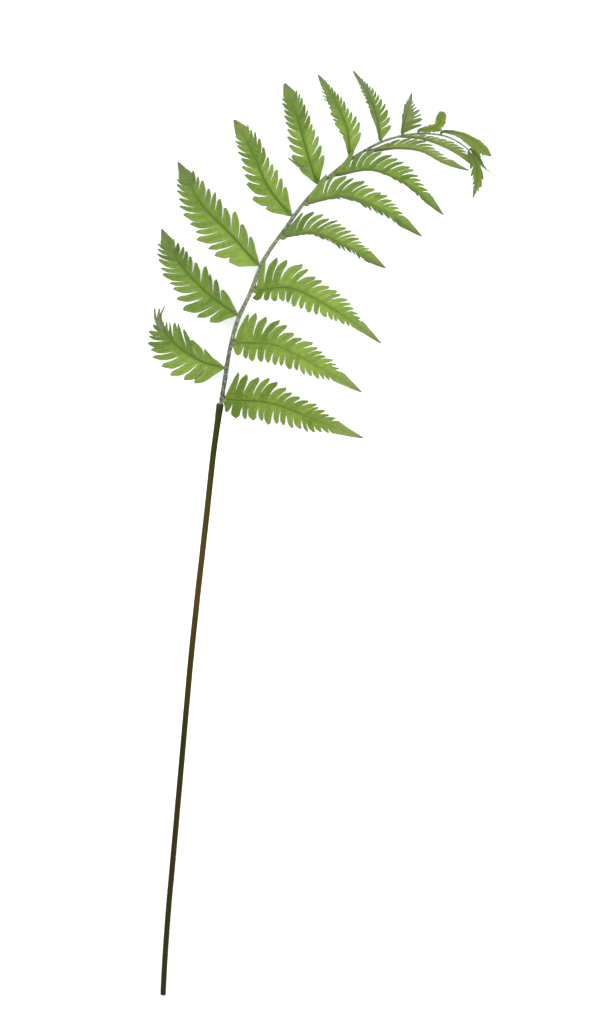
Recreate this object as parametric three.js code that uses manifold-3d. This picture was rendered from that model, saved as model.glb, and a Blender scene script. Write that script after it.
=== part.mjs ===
import * as THREE from "three";
import { mergeVertices } from "three/addons/utils/BufferGeometryUtils.js";
import Module from "manifold-3d";

// A fern-like frond as it lies on a table, in millimetres, with Z up. Places are measured from the
// middle of the stalk's cut end: X to the right, Y along the stalk, Z above the table.

const wasm = await Module();
wasm.setup();

const stalkSides = 12;
const stalkFootRadius = 2.75;
const stalkRest = stalkFootRadius * Math.cos(Math.PI / stalkSides);

// Each station of a stem is a place on its axis and the radius there.
const stalkStations = [
  [0, 0, stalkRest, 2.3],
  [0.1, 0.8, stalkRest, stalkFootRadius],
  [1.7, 32, stalkRest, stalkFootRadius],
  [5.5, 85, 4, 2.8],
  [10.1, 137, 5.7, 2.85],
  [14.6, 187, 7.4, 2.9],
  [19.1, 237, 9.2, 2.9],
  [28.1, 337, 12.7, 2.95],
  [33.3, 387, 14.4, 3],
  [38.9, 437, 16, 3],
  [44.6, 487, 17.6, 3.05],
  [50, 537, 19.1, 3.05],
  [53.3, 562, 19.9, 3.1],
  [55.4, 577, 20.4, 3.35],
  [56.9, 588, 20.8, 3.7],
  [57.5, 592.3, 20.95, 3.7],
  [57.6, 593.3, 21, 3.35],
];

// The rachis's foot is a spigot in a blind bore in the stalk's collar.
const spigot = { radius: 1.6, depth: 15, shift: 0.8, gap: 0.4, sides: 10 };

const rachisSides = 8;
const rachisSteps = 2;
const rachisStations = [
  [58.9, 597.5, 21.3, 2.1],
  [61.5, 612, 22.5, 2.1],
  [66.5, 647, 25.5, 2.05],
  [74.5, 677, 28, 1.95],
  [86.5, 702, 30, 1.9],
  [102.5, 739, 32.5, 1.8],
  [121.5, 767, 34, 1.7],
  [142.5, 795, 35, 1.6],
  [166.5, 821, 36, 1.45],
  [192.5, 841, 36.5, 1.3],
  [222.5, 856.5, 36.5, 1.2],
  [252.5, 862.5, 35, 1],
  [278.5, 861.5, 32, 0.85],
  [293.5, 856, 29.5, 0.75],
  [306.5, 847, 26, 0.7],
];

// A small cup stands on the rachis for each pinna, and the foot of the pinna's petiole is a peg in it.
const cup = { height: 1.9, rootRadius: 1.9, rimRadius: 1.5, holeRadius: 1, floor: 0.15, sides: 6 };
const peg = { radius: 0.55, gap: 0.3, shoulder: 1.25, bend: 1.2 };

const blade = {
  thickness: 0.7,
  lobedEnd: 0.76,
  tipStations: [0.84, 0.93, 1],
  ribHalfWidth: [1.2, 0.4],
  ribTop: [1, 0.4],
  ribUnder: [0.9, 0.4],
  slit: [0.36, 0.7],
  shoulder: [0.66, 0.8],
  shoulderFill: 0.86,
  foldEase: 2.5,
  leastSlit: 2,
  slitDrift: 0.7,
  shoulderDrift: 0.85,
  crowding: 0.22,
  growStart: -0.1,
  lengthPlay: 0.07,
  leanPlay: 3,
};

// Half width of the blade as a share of the widest, by the place along the midrib where a lobe is rooted.
const rightOutline = [
  [0, 0.75], [0.05, 0.93], [0.12, 1], [0.2, 0.91], [0.3, 0.76], [0.4, 0.66], [0.5, 0.56], [0.62, 0.41],
  [0.7, 0.29], [0.77, 0.2], [0.86, 0.15], [0.94, 0.09], [1, 0.02],
];
const leftOutline = [
  [0, 0.75], [0.05, 0.93], [0.15, 1.03], [0.29, 1], [0.4, 0.83], [0.53, 0.67], [0.6, 0.57], [0.7, 0.43],
  [0.77, 0.29], [0.86, 0.18], [0.94, 0.1], [1, 0.02],
];

// The midrib is a curve from base to tip. The first of each pair is the half towards the frond's tip and
// the second the half towards its foot: widest half width, then fold from the level at the base and at
// the tip of the pinna in degrees, up being more than 0. lean is the lobes' angle to the midrib, bare the
// share of the midrib before the first lobe, and grow the share over which the blade reaches its width.
const pinnae = [
  { name: "pinna_left_01", hand: 1, lobes: 11, bare: 0.05, grow: 0, wide: [20, 28],
    midrib: [[57.5, 630, 24.5], [39.5, 635.5, 27], [16, 650, 30], [0.5, 667, 42], [-4, 680, 57],
      [3.5, 691, 65]],
    fold: [[-45, -20], [3, 0]], lean: [75, 50] },
  { name: "pinna_left_02", hand: 1, lobes: 12, bare: 0.03, grow: 0, wide: [22, 27.5],
    midrib: [[72.5, 683.5, 28.5], [44.5, 704, 33], [16.5, 734.5, 24], [-0.5, 768, 3]],
    fold: [[-50, -20], [0, 0]], lean: [78, 40] },
  { name: "pinna_left_03", hand: 1, lobes: 12, bare: 0.03, grow: 0, wide: [23, 28.5],
    midrib: [[95.5, 733, 32], [69.5, 761, 35], [40.5, 791, 25], [16, 835, 0.4]],
    fold: [[-50, -15], [0, 0]], lean: [78, 40] },
  { name: "pinna_left_04", hand: 1, lobes: 10, bare: 0.05, grow: 0, wide: [18, 19.5],
    midrib: [[127.5, 782.5, 34.5], [106.5, 808, 40.5], [89.5, 845, 31], [71.5, 878, 8]],
    fold: [[-15, -10], [-10, -10]], lean: [75, 38] },
  { name: "pinna_left_05", hand: 1, lobes: 10, bare: 0.05, grow: 0, wide: [17, 18.5],
    midrib: [[157.5, 813, 35.5], [145, 842, 43], [135.5, 877, 34], [122, 914.5, 9]],
    fold: [[-10, -15], [-12, -15]], lean: [75, 40] },
  { name: "pinna_left_06", hand: 1, lobes: 10, bare: 0.06, grow: 0, wide: [14.5, 16],
    midrib: [[187.5, 841, 37], [185, 865, 44.5], [174.5, 892, 35], [155.5, 923, 12]],
    fold: [[-10, -40], [-65, -30]], lean: [68, 40] },
  { name: "pinna_left_07", hand: 1, lobes: 10, bare: 0.04, grow: 0, wide: [13.5, 13],
    midrib: [[217.5, 857.5, 37], [214.5, 878, 43.5], [205.5, 903, 37], [190.5, 927, 17]],
    fold: [[-5, -50], [-75, -45]], lean: [65, 40] },
  { name: "pinna_left_08", hand: 1, lobes: 6, bare: 0.08, grow: 0, wide: [15.5, 12],
    midrib: [[239.5, 864, 36.5], [242, 875, 46], [246, 889, 54], [249, 903, 50]],
    fold: [[-10, -10], [-80, -60]], lean: [65, 38] },
  { name: "pinna_left_09", hand: 1, lobes: 6, bare: 0.1, grow: 0.3, wide: [8, 8],
    midrib: [[256, 866, 36], [269, 868, 42], [277.5, 875, 46], [279.5, 883, 41], [276, 883, 28]],
    fold: [[-10, -10], [-5, -10]], lean: [75, 55] },
  { name: "pinna_left_10", hand: -1, lobes: 7, bare: 0.1, grow: 0.45, wide: [9, 11],
    midrib: [[279, 865.5, 32.5], [296, 863, 39], [311, 856, 38], [329, 840.5, 27]],
    fold: [[-10, -10], [-25, 5]], lean: [55, 38] },
  { name: "pinna_right_01", hand: -1, lobes: 14, bare: 0.02, grow: 0, wide: [28, 24],
    midrib: [[64, 597.5, 22], [107.5, 594, 27.5], [154.5, 576.5, 21.5], [201.5, 559, 5]],
    fold: [[5, 0], [0, -5]], lean: [95, 44] },
  { name: "pinna_right_02", hand: -1, lobes: 14, bare: 0.02, grow: 0, wide: [29, 22.5],
    midrib: [[73, 654.5, 27.5], [111, 652, 31.5], [154.5, 631, 24], [199.5, 605, 3]],
    fold: [[5, 0], [-5, -5]], lean: [90, 44] },
  { name: "pinna_right_03", hand: -1, lobes: 14, bare: 0.02, grow: 0, wide: [29, 20],
    midrib: [[93, 707.5, 31.5], [128.5, 708.5, 35], [174.5, 685.5, 26], [219, 654, 0.4]],
    fold: [[8, 0], [-50, -20]], lean: [82, 42] },
  { name: "pinna_right_04", hand: -1, lobes: 11, bare: 0.03, grow: 0, wide: [23, 17],
    midrib: [[120.5, 760.5, 36.5], [150.5, 763.5, 41], [189.5, 748.5, 32], [223.5, 729.5, 8]],
    fold: [[12, 0], [-90, -20]], lean: [65, 40] },
  { name: "pinna_right_05", hand: -1, lobes: 11, bare: 0.04, grow: 0, wide: [22, 16],
    midrib: [[144, 793.5, 37.5], [179.5, 800, 43], [225.5, 784.5, 33], [260, 761, 9]],
    fold: [[12, 0], [-90, -20]], lean: [65, 40] },
  { name: "pinna_right_06", hand: -1, lobes: 10, bare: 0.04, grow: 0, wide: [21, 15],
    midrib: [[173, 821, 39], [208.5, 826.5, 45], [248.5, 810, 35], [281.5, 782.5, 12]],
    fold: [[12, 0], [-90, -20]], lean: [65, 40] },
  { name: "pinna_right_07", hand: -1, lobes: 9, bare: 0.08, grow: 0.35, wide: [16, 11],
    midrib: [[206.5, 844.5, 32.5], [234, 848.6, 33], [259, 846, 31], [282, 834.5, 25], [306.5, 827.2, 12]],
    fold: [[-5, -10], [-88, -30]], lean: [52, 34] },
  { name: "pinna_right_08", hand: -1, lobes: 8, bare: 0.1, grow: 0.75, wide: [19, 9],
    midrib: [[238.5, 859.5, 40.5], [261, 857.5, 37], [290.5, 846.5, 25], [314.5, 830, 8]],
    fold: [[0, -15], [-88, -50]], lean: [50, 32] },
  { name: "pinna_tip_01", hand: -1, lobes: 5, bare: 0.08, grow: 0, wide: [7, 7],
    midrib: [[306.3, 843.5, 26], [312.5, 837, 26.5], [315, 820, 23], [310.5, 799, 12]],
    fold: [[-15, -15], [-15, -15]], lean: [50, 35] },
  { name: "pinna_tip_02", hand: -1, lobes: 4, bare: 0.12, grow: 0, wide: [5, 5],
    midrib: [[309.5, 848, 24], [314.5, 842, 20], [319.5, 834.5, 15], [325, 827.5, 9]],
    fold: [[-20, -20], [-20, -20]], lean: [45, 35] },
];

const colours = {
  stalk: { color: 0x5b5528, roughness: 0.38, metalness: 0 },
  rachis: { color: 0x83836d, roughness: 0.55, metalness: 0 },
  blade: { color: 0x7c9c46, roughness: 0.62, metalness: 0 },
};

const up = new THREE.Vector3(0, 0, 1);
const degrees = Math.PI / 180;
const { lerp, clamp, smoothstep } = THREE.MathUtils;
const weldDistance = 1e-4;
const cutBeyond = 2;
const seatSamples = 2000;
const uprightBeyond = 0.9;
const draws = { seedFactor: 7919, seedShift: 17, factor: 48271, modulus: 2147483647 };

// Repeatable draws between -1 and 1.
function seededDraw(seed) {
  let state = seed * draws.seedFactor + draws.seedShift;
  return () => {
    state = (state * draws.factor) % draws.modulus;
    return (state / draws.modulus) * 2 - 1;
  };
}

function readOutline(outline, share) {
  const next = Math.max(1, outline.findIndex(([place]) => place >= share));
  const [fromPlace, fromWidth] = outline[next - 1];
  const [toPlace, toWidth] = outline[next];
  return lerp(fromWidth, toWidth, clamp((share - fromPlace) / (toPlace - fromPlace), 0, 1));
}

function closedGeometry(points, triangles) {
  const geometry = new THREE.BufferGeometry();
  geometry.setAttribute("position", new THREE.Float32BufferAttribute(points.flatMap((p) => p.toArray()), 3));
  geometry.setIndex(triangles.flat());
  return geometry;
}

// Faces between rings of equal count, each ring turning the same way round its direction of travel.
function skinRings(rings) {
  const faces = [];
  for (let step = 0; step < rings.length - 1; step += 1) {
    const near = rings[step];
    const far = rings[step + 1];
    near.forEach((corner, i) => {
      const next = (i + 1) % near.length;
      faces.push([corner, near[next], far[next]], [corner, far[next], far[i]]);
    });
  }
  return faces;
}

function capRing(ring, facesForward) {
  const faces = [];
  for (let i = 1; i < ring.length - 1; i += 1) {
    faces.push(facesForward ? [ring[0], ring[i], ring[i + 1]] : [ring[0], ring[i + 1], ring[i]]);
  }
  return faces;
}

// A closed rod through rings of { centre, right, above, radius }.
function rodThrough(sections, sides) {
  const points = [];
  const rings = sections.map(({ centre, right, above, radius }) => {
    const ring = [];
    for (let i = 0; i < sides; i += 1) {
      const turn = ((i + 0.5) / sides) * 2 * Math.PI;
      ring.push(points.length);
      points.push(centre.clone()
        .addScaledVector(right, -radius * Math.cos(turn))
        .addScaledVector(above, radius * Math.sin(turn)));
    }
    return ring;
  });
  return closedGeometry(points, [
    ...skinRings(rings), ...capRing(rings[0], false), ...capRing(rings[rings.length - 1], true)]);
}

// Sections of a stem stay upright, so that its lowest facet is level.
function stemSections(stations, stepsBetween) {
  const axis = new THREE.CatmullRomCurve3(stations.map(([x, y, z]) => new THREE.Vector3(x, y, z)));
  const spans = stations.length - 1;
  const sections = [];
  for (let step = 0; step <= spans * stepsBetween; step += 1) {
    const place = step / stepsBetween;
    const before = Math.min(Math.floor(place), spans - 1);
    const ahead = axis.getTangent(place / spans);
    sections.push({
      centre: axis.getPoint(place / spans),
      right: new THREE.Vector3().crossVectors(ahead, up).normalize(),
      above: up,
      radius: lerp(stations[before][3], stations[before + 1][3], place - before),
    });
  }
  return sections;
}

function straightRod(from, to, fromRadius, toRadius, sides) {
  const ahead = to.clone().sub(from).normalize();
  const aside = Math.abs(ahead.z) > uprightBeyond ? new THREE.Vector3(1, 0, 0) : up;
  const right = new THREE.Vector3().crossVectors(ahead, aside).normalize();
  const above = new THREE.Vector3().crossVectors(right, ahead);
  return rodThrough([
    { centre: from, right, above, radius: fromRadius },
    { centre: to, right, above, radius: toRadius },
  ], sides);
}

function toSolid(geometry) {
  const merged = mergeVertices(geometry, weldDistance);
  return new wasm.Manifold(new wasm.Mesh({
    numProp: 3,
    vertProperties: new Float32Array(merged.attributes.position.array),
    triVerts: new Uint32Array(merged.index.array),
  }));
}

function toGeometry(solid) {
  const mesh = solid.getMesh();
  const geometry = new THREE.BufferGeometry();
  geometry.setAttribute("position", new THREE.BufferAttribute(mesh.vertProperties, 3));
  geometry.setIndex(new THREE.BufferAttribute(mesh.triVerts, 1));
  return geometry;
}

// The collar's top and the way down into its bore, which the rachis's foot follows.
const collarTop = new THREE.Vector3(...stalkStations[stalkStations.length - 1].slice(0, 3));
const collarBelow = new THREE.Vector3(...stalkStations[stalkStations.length - 4].slice(0, 3));
const intoCollar = collarBelow.clone().sub(collarTop).normalize();
const boreMouth = collarTop.clone().add(new THREE.Vector3(spigot.shift, 0, 0));

function makeStalk() {
  const rod = toSolid(rodThrough(stemSections(stalkStations, 1), stalkSides));
  const floor = boreMouth.clone().addScaledVector(intoCollar, spigot.depth + spigot.gap);
  const above = boreMouth.clone().addScaledVector(intoCollar, -cutBeyond);
  const boreRadius = spigot.radius + spigot.gap;
  return toGeometry(rod.subtract(toSolid(straightRod(floor, above, boreRadius, boreRadius, spigot.sides))));
}

const rachisSections = stemSections(rachisStations, rachisSteps);
const rachisAxis = new THREE.CatmullRomCurve3(rachisSections.map(({ centre }) => centre));

// The nearest place on the rachis to a pinna's base, the rachis's radius there and the way out to the base.
function findSeat(pinna) {
  const base = new THREE.Vector3(...pinna.midrib[0]);
  let seat = { distance: Infinity };
  for (let i = 0; i <= seatSamples; i += 1) {
    const centre = rachisAxis.getPoint(i / seatSamples);
    const distance = centre.distanceTo(base);
    if (distance < seat.distance) {
      seat = { distance, centre, place: (i / seatSamples) * (rachisSections.length - 1) };
    }
  }
  const before = Math.min(Math.floor(seat.place), rachisSections.length - 2);
  const radius = lerp(rachisSections[before].radius, rachisSections[before + 1].radius, seat.place - before);
  return { centre: seat.centre, radius, outward: base.sub(seat.centre).normalize() };
}

function makeRachis(seats) {
  const start = boreMouth.clone().addScaledVector(intoCollar, spigot.depth);
  const shoulder = boreMouth.clone().addScaledVector(intoCollar, -spigot.gap);
  const { right, above } = rachisSections[0];
  const foot = [
    { centre: start, right, above, radius: spigot.radius },
    { centre: shoulder, right, above, radius: spigot.radius },
    { centre: shoulder, right, above, radius: rachisSections[0].radius },
  ];
  let solid = toSolid(rodThrough([...foot, ...rachisSections], rachisSides));
  seats.forEach(({ centre, radius, outward }) => {
    const rim = centre.clone().addScaledVector(outward, radius + cup.height);
    solid = solid.add(toSolid(straightRod(centre, rim, cup.rootRadius, cup.rimRadius, cup.sides)));
  });
  seats.forEach(({ centre, radius, outward }) => {
    const floor = centre.clone().addScaledVector(outward, radius + cup.floor);
    const beyond = centre.clone().addScaledVector(outward, radius + cup.height + cutBeyond);
    solid = solid.subtract(toSolid(straightRod(floor, beyond, cup.holeRadius, cup.holeRadius, cup.sides)));
  });
  return toGeometry(solid);
}

// One pinna: a ribbed midrib, both halves of the blade cut into lobes, and the petiole with its peg.
function makePinna(pinna, seat, seed) {
  const draw = seededDraw(seed);
  const start = seat.centre.clone().addScaledVector(seat.outward, seat.radius + cup.height + peg.gap);
  const beyond = pinna.midrib.slice(1).map((place) => new THREE.Vector3(...place));
  const midrib = new THREE.CatmullRomCurve3([start, ...beyond]);
  const length = midrib.getLength();
  const outline = pinna.hand > 0 ? leftOutline : rightOutline;
  const points = [];
  const faces = [];

  function frameAt(share) {
    const ahead = midrib.getTangentAt(clamp(share, 0, 1));
    const right = new THREE.Vector3().crossVectors(ahead, up).normalize();
    const above = new THREE.Vector3().crossVectors(right, ahead);
    return { centre: midrib.getPointAt(clamp(share, 0, 1)), ahead, right, above };
  }

  // A place on the blade is a pair of points, one on each face.
  function addPair(centre, towardTop, top, under) {
    points.push(
      centre.clone().addScaledVector(towardTop, top),
      centre.clone().addScaledVector(towardTop, -under));
    return points.length / 2 - 1;
  }

  function bladePair(half, along, out) {
    const frame = frameAt(along / length);
    const fold = lerp(...pinna.fold[half], clamp(along / length, 0, 1) ** blade.foldEase) * degrees;
    const side = half === 0 ? pinna.hand : -pinna.hand;
    const outward = frame.right.clone().multiplyScalar(side * Math.cos(fold))
      .addScaledVector(frame.above, Math.sin(fold));
    const towardTop = frame.right.clone().multiplyScalar(-side * Math.sin(fold))
      .addScaledVector(frame.above, Math.cos(fold));
    const centre = frame.centre.addScaledVector(outward, out);
    return addPair(centre, towardTop, blade.thickness / 2, blade.thickness / 2);
  }

  // side is 1 right of the midrib and -1 left of it.
  function addFace(side, a, b, c) {
    if (a === b || b === c || a === c) {
      return;
    }
    const [second, third] = side > 0 ? [b, c] : [c, b];
    faces.push([2 * a, 2 * second, 2 * third], [2 * a + 1, 2 * third + 1, 2 * second + 1]);
  }

  function addWall(side, from, to) {
    const [near, far] = side > 0 ? [from, to] : [to, from];
    faces.push([2 * near, 2 * near + 1, 2 * far + 1], [2 * near, 2 * far + 1, 2 * far]);
  }

  const shares = [];
  for (let k = 0; k <= pinna.lobes; k += 1) {
    const part = k / pinna.lobes;
    shares.push(lerp(pinna.bare, blade.lobedEnd, part * (1 + blade.crowding * (1 - part))));
  }
  shares.push(...blade.tipStations);
  const ribs = shares.map((share) => {
    const frame = frameAt(share);
    return addPair(frame.centre, frame.above, lerp(...blade.ribTop, share), lerp(...blade.ribUnder, share));
  });

  const edges = [0, 1].map((half) => {
    const side = half === 0 ? pinna.hand : -pinna.hand;
    const lean = (share) => {
      const angle = lerp(...pinna.lean, Math.sqrt(clamp(share / blade.lobedEnd, 0, 1)));
      return 1 / Math.tan(angle * degrees);
    };
    const growth = (share) => (pinna.grow > 0 ? smoothstep(share, blade.growStart, pinna.grow) : 1);
    const width = (share) => pinna.wide[half] * readOutline(outline, share) * growth(share);
    const ribEdges = shares.map((share) => {
      const frame = frameAt(share);
      const out = side * lerp(...blade.ribHalfWidth, share);
      return addPair(frame.centre.addScaledVector(frame.right, out), frame.above,
        blade.thickness / 2, blade.thickness / 2);
    });
    const slits = shares.map((share, k) => {
      if (k === 0 || k === shares.length - 1) {
        return ribEdges[k];
      }
      if (k > pinna.lobes) {
        return bladePair(half, share * length, width(share));
      }
      const out = lerp(...blade.slit, share / blade.lobedEnd) * width(share);
      const along = share * length + out * lean(share) * blade.slitDrift;
      return bladePair(half, along, Math.max(out, blade.leastSlit));
    });
    const rim = [slits[0]];
    for (let k = 0; k < pinna.lobes; k += 1) {
      const centre = (shares[k] + shares[k + 1]) / 2;
      const reach = width(centre) * (1 + blade.lengthPlay * draw());
      const turned = lean(centre) + blade.leanPlay * degrees * draw();
      const shoulder = reach * lerp(...blade.shoulder, centre);
      const drift = shoulder * turned * blade.shoulderDrift;
      const spread = (shares[k + 1] - shares[k]) * length * blade.shoulderFill / 2;
      const near = bladePair(half, centre * length + drift - spread, shoulder);
      const point = bladePair(half, centre * length + reach * turned, reach);
      const far = bladePair(half, centre * length + drift + spread, shoulder);
      addFace(side, slits[k], near, far);
      addFace(side, near, point, far);
      addFace(side, slits[k], far, slits[k + 1]);
      rim.push(near, point, far, slits[k + 1]);
    }
    rim.push(...slits.slice(pinna.lobes + 1));
    for (let k = 0; k < shares.length - 1; k += 1) {
      addFace(side, ribs[k], ribEdges[k], ribEdges[k + 1]);
      addFace(side, ribs[k], ribEdges[k + 1], ribs[k + 1]);
      addFace(side, ribEdges[k], slits[k], slits[k + 1]);
      addFace(side, ribEdges[k], slits[k + 1], ribEdges[k + 1]);
    }
    rim.push(ribs[ribs.length - 1]);
    rim.slice(1).forEach((place, i) => addWall(side, rim[i], place));
    return { side, first: ribEdges[0] };
  });

  const rightEdge = edges.find(({ side }) => side > 0).first;
  const leftEdge = edges.find(({ side }) => side < 0).first;
  const bladeRing = [
    2 * rightEdge, 2 * ribs[0], 2 * leftEdge, 2 * leftEdge + 1, 2 * ribs[0] + 1, 2 * rightEdge + 1];

  // The petiole's rings turn smoothly from the cup's direction to the midrib's.
  const bladeFrame = frameAt(shares[0]);
  const ringTurn = (2 * Math.PI) / bladeRing.length;
  function petioleRing(centre, ahead, radius) {
    const turn = new THREE.Quaternion().setFromUnitVectors(bladeFrame.ahead, ahead);
    const right = bladeFrame.right.clone().applyQuaternion(turn);
    const above = bladeFrame.above.clone().applyQuaternion(turn);
    return bladeRing.map((_, i) => {
      const angle = (i + 0.5) * ringTurn;
      points.push(centre.clone().addScaledVector(right, radius * Math.cos(angle))
        .addScaledVector(above, radius * Math.sin(angle)));
      return points.length - 1;
    });
  }
  const pegEnd = seat.centre.clone().addScaledVector(seat.outward, seat.radius + cup.floor + peg.gap);
  const bendAhead = seat.outward.clone().add(bladeFrame.ahead).normalize();
  const bendCentre = start.clone().addScaledVector(bendAhead, peg.bend);
  const rings = [
    petioleRing(pegEnd, seat.outward, peg.radius),
    petioleRing(start, seat.outward, peg.radius),
    petioleRing(start, seat.outward, peg.shoulder),
    petioleRing(bendCentre, bendAhead, peg.shoulder),
    bladeRing,
  ];
  skinRings(rings.map((ring) => [...ring].reverse())).forEach((face) => faces.push(face));
  capRing([...rings[0]].reverse(), false).forEach((face) => faces.push(face));
  return closedGeometry(points, faces);
}

function addPart(group, name, geometry, finish) {
  geometry.computeVertexNormals();
  const part = new THREE.Mesh(geometry, new THREE.MeshStandardMaterial(finish));
  part.name = name;
  group.add(part);
}

const frond = new THREE.Group();
const seats = pinnae.map(findSeat);
addPart(frond, "stalk", makeStalk(), colours.stalk);
addPart(frond, "rachis", makeRachis(seats), colours.rachis);
pinnae.forEach((pinna, i) => addPart(frond, pinna.name, makePinna(pinna, seats[i], i + 1), colours.blade));

const box = new THREE.Box3().setFromObject(frond);
const middle = box.getCenter(new THREE.Vector3());
frond.position.set(-middle.x, -middle.y, -box.min.z);

export default frond;
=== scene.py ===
import math
import random

import bpy
import numpy as np
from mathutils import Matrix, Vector


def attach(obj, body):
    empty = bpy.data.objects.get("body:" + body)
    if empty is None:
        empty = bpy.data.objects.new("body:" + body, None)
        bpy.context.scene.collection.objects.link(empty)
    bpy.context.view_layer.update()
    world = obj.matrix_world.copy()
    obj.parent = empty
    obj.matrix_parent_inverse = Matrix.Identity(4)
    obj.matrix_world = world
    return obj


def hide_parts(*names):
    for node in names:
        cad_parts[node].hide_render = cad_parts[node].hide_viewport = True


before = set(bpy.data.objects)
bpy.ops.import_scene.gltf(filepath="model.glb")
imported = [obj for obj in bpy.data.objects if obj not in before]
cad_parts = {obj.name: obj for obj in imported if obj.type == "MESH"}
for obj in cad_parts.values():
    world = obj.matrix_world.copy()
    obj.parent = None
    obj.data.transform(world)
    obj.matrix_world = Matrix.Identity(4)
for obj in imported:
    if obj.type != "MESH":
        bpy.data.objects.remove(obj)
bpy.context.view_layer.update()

mm = 0.001
print("frame loaded:", len(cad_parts), "nodes")

# Places below are in millimetres from the middle of the stalk's cut end: X to the right and Y up as the
# camera sees them, Z up from the table. cutEnd is where that point lies in the frame.
cutEnd = (-156.74, -463.55, 0.0)


def place(point):
    return Vector([(value + shift) * mm for value, shift in zip(point, cutEnd)])


def newObject(name, data):
    made = bpy.data.objects.new(name, data)
    bpy.context.scene.collection.objects.link(made)
    return made


# Camera: straight above, with a long lens, and one millimetre to each of the photograph's pixels.
view = {"lens": 250, "sensor": 36, "clipEnd": 100, "pixelsHigh": 1024, "middlePixel": (300, 512),
        "cutEndPixel": (162.5, 997), "aboveTable": 25}

camera = newObject("camera", bpy.data.cameras.new("camera"))
camera.data.lens = view["lens"]
camera.data.sensor_width = view["sensor"]
camera.data.clip_end = view["clipEnd"]
middle = place((view["middlePixel"][0] - view["cutEndPixel"][0],
                view["cutEndPixel"][1] - view["middlePixel"][1], view["aboveTable"]))
camera.location = middle + Vector((0, 0, view["pixelsHigh"] * mm * view["lens"] / view["sensor"]))
bpy.context.scene.camera = camera
print("camera placed")


class Wire:
    # A node socket that adds its own Math nodes when it is used in a Python expression.
    def __init__(self, kit, socket):
        self.kit = kit
        self.socket = socket

    def math(self, operation, *others, first=None):
        values = (self if first is None else first, *others)
        return self.kit.node("ShaderNodeMath", {"operation": operation}, dict(enumerate(values)))

    def __add__(self, other):
        return self.math("ADD", other)

    def __sub__(self, other):
        return self.math("SUBTRACT", other)

    def __rsub__(self, other):
        return self.math("SUBTRACT", self, first=other)

    def __mul__(self, other):
        return self.math("MULTIPLY", other)

    def __truediv__(self, other):
        return self.math("DIVIDE", other)

    def __pow__(self, other):
        return self.math("POWER", other)

    __radd__ = __add__
    __rmul__ = __mul__

    def smooth(self, low, high):
        # 0 below low, 1 above high, with soft ends
        return self.kit.node("ShaderNodeMapRange", {"interpolation_type": "SMOOTHSTEP"},
                             {"Value": self, "From Min": low, "From Max": high})

    def between(self, low, high):
        return self.math("MAXIMUM", low).math("MINIMUM", high)

    def output(self, name):
        return Wire(self.kit, self.socket.node.outputs[name])


class NodeKit:
    # Adds nodes to one tree. A list links several wires to one socket.
    def __init__(self, tree):
        self.tree = tree

    def node(self, kind, settings=None, inputs=None, output=0):
        made = self.tree.nodes.new(kind)
        for name, value in (settings or {}).items():
            if name == "stops":
                self.setStops(made.color_ramp, value)
            else:
                setattr(made, name, value)
        for key, value in (inputs or {}).items():
            for part in value if isinstance(value, list) else [value]:
                if isinstance(part, Wire):
                    self.tree.links.new(part.socket, made.inputs[key])
                else:
                    made.inputs[key].default_value = part
        return Wire(self, made.outputs[output]) if made.outputs else None

    def setStops(self, ramp, stops):
        while len(ramp.elements) < len(stops):
            ramp.elements.new(0.5)
        for element, (position, colour) in zip(ramp.elements, stops):
            element.position = position
            element.color = colour

    def attribute(self, name, output="Fac"):
        return self.node("ShaderNodeAttribute", {"attribute_name": name}, output=output)

    def noise(self, vector, scale, detail=3, roughness=0.5):
        return self.node("ShaderNodeTexNoise", None,
                         {"Vector": vector, "Scale": scale, "Detail": detail, "Roughness": roughness})

    def layered(self, colour, *layers):
        # lays further colours over the first one, each as far as its mask shows it
        for mask, over in layers:
            colour = self.node("ShaderNodeMix", {"data_type": "RGBA"}, {0: mask, 6: colour, 7: over}, 2)
        return colour

    def vector(self, operation, first, second=None, scale=None):
        inputs = {0: first}
        if second is not None:
            inputs[1] = second
        if scale is not None:
            inputs["Scale"] = scale
        return self.node("ShaderNodeVectorMath", {"operation": operation}, inputs)


screenGamma = 2.2


def linear(red, green, blue):
    # a colour of 0 to 255 as the linear numbers that a colour socket takes, with alpha
    return (*[(part / 255) ** screenGamma for part in (red, green, blue)], 1)


# Paths: a smooth curve through given points, as a poly line that the trees sample by length.
def smoothPath(points, steps=24, leastGap=1e-4):
    knots = [np.array(point, float) for point in points]
    knots = [2 * knots[0] - knots[1], *knots, 2 * knots[-1] - knots[-2]]
    line = []
    for a, b, c, d in zip(knots, knots[1:], knots[2:], knots[3:]):
        gaps = [max(math.sqrt(np.linalg.norm(far - near)), leastGap)
                for near, far in ((a, b), (b, c), (c, d))]
        leaving = ((b - a) / gaps[0] - (c - a) / (gaps[0] + gaps[1]) + (c - b) / gaps[1]) * gaps[1]
        arriving = ((c - b) / gaps[1] - (d - b) / (gaps[1] + gaps[2]) + (d - c) / gaps[2]) * gaps[1]
        for step in range(steps):
            t = step / steps
            line.append((2 * t**3 - 3 * t**2 + 1) * b + (t**3 - 2 * t**2 + t) * leaving
                        + (3 * t**2 - 2 * t**3) * c + (t**3 - t**2) * arriving)
    line.append(knots[-2])
    return np.array(line)


def stationPath(stations):
    # The path through a stem's stations of (x, y, z, radius), and the radius at each of its points.
    line = smoothPath([station[:3] for station in stations])
    radii = np.interp(np.linspace(0, 1, len(line)), np.linspace(0, 1, len(stations)),
                      [station[3] for station in stations])
    return line, radii


def lengthAlong(line):
    return np.concatenate([[0], np.cumsum(np.linalg.norm(np.diff(line, axis=0), axis=1))])


def lengthened(line, extra):
    ahead = (line[-1] - line[-2]) / np.linalg.norm(line[-1] - line[-2])
    return np.vstack([line, line[-1] + ahead * extra])


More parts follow.
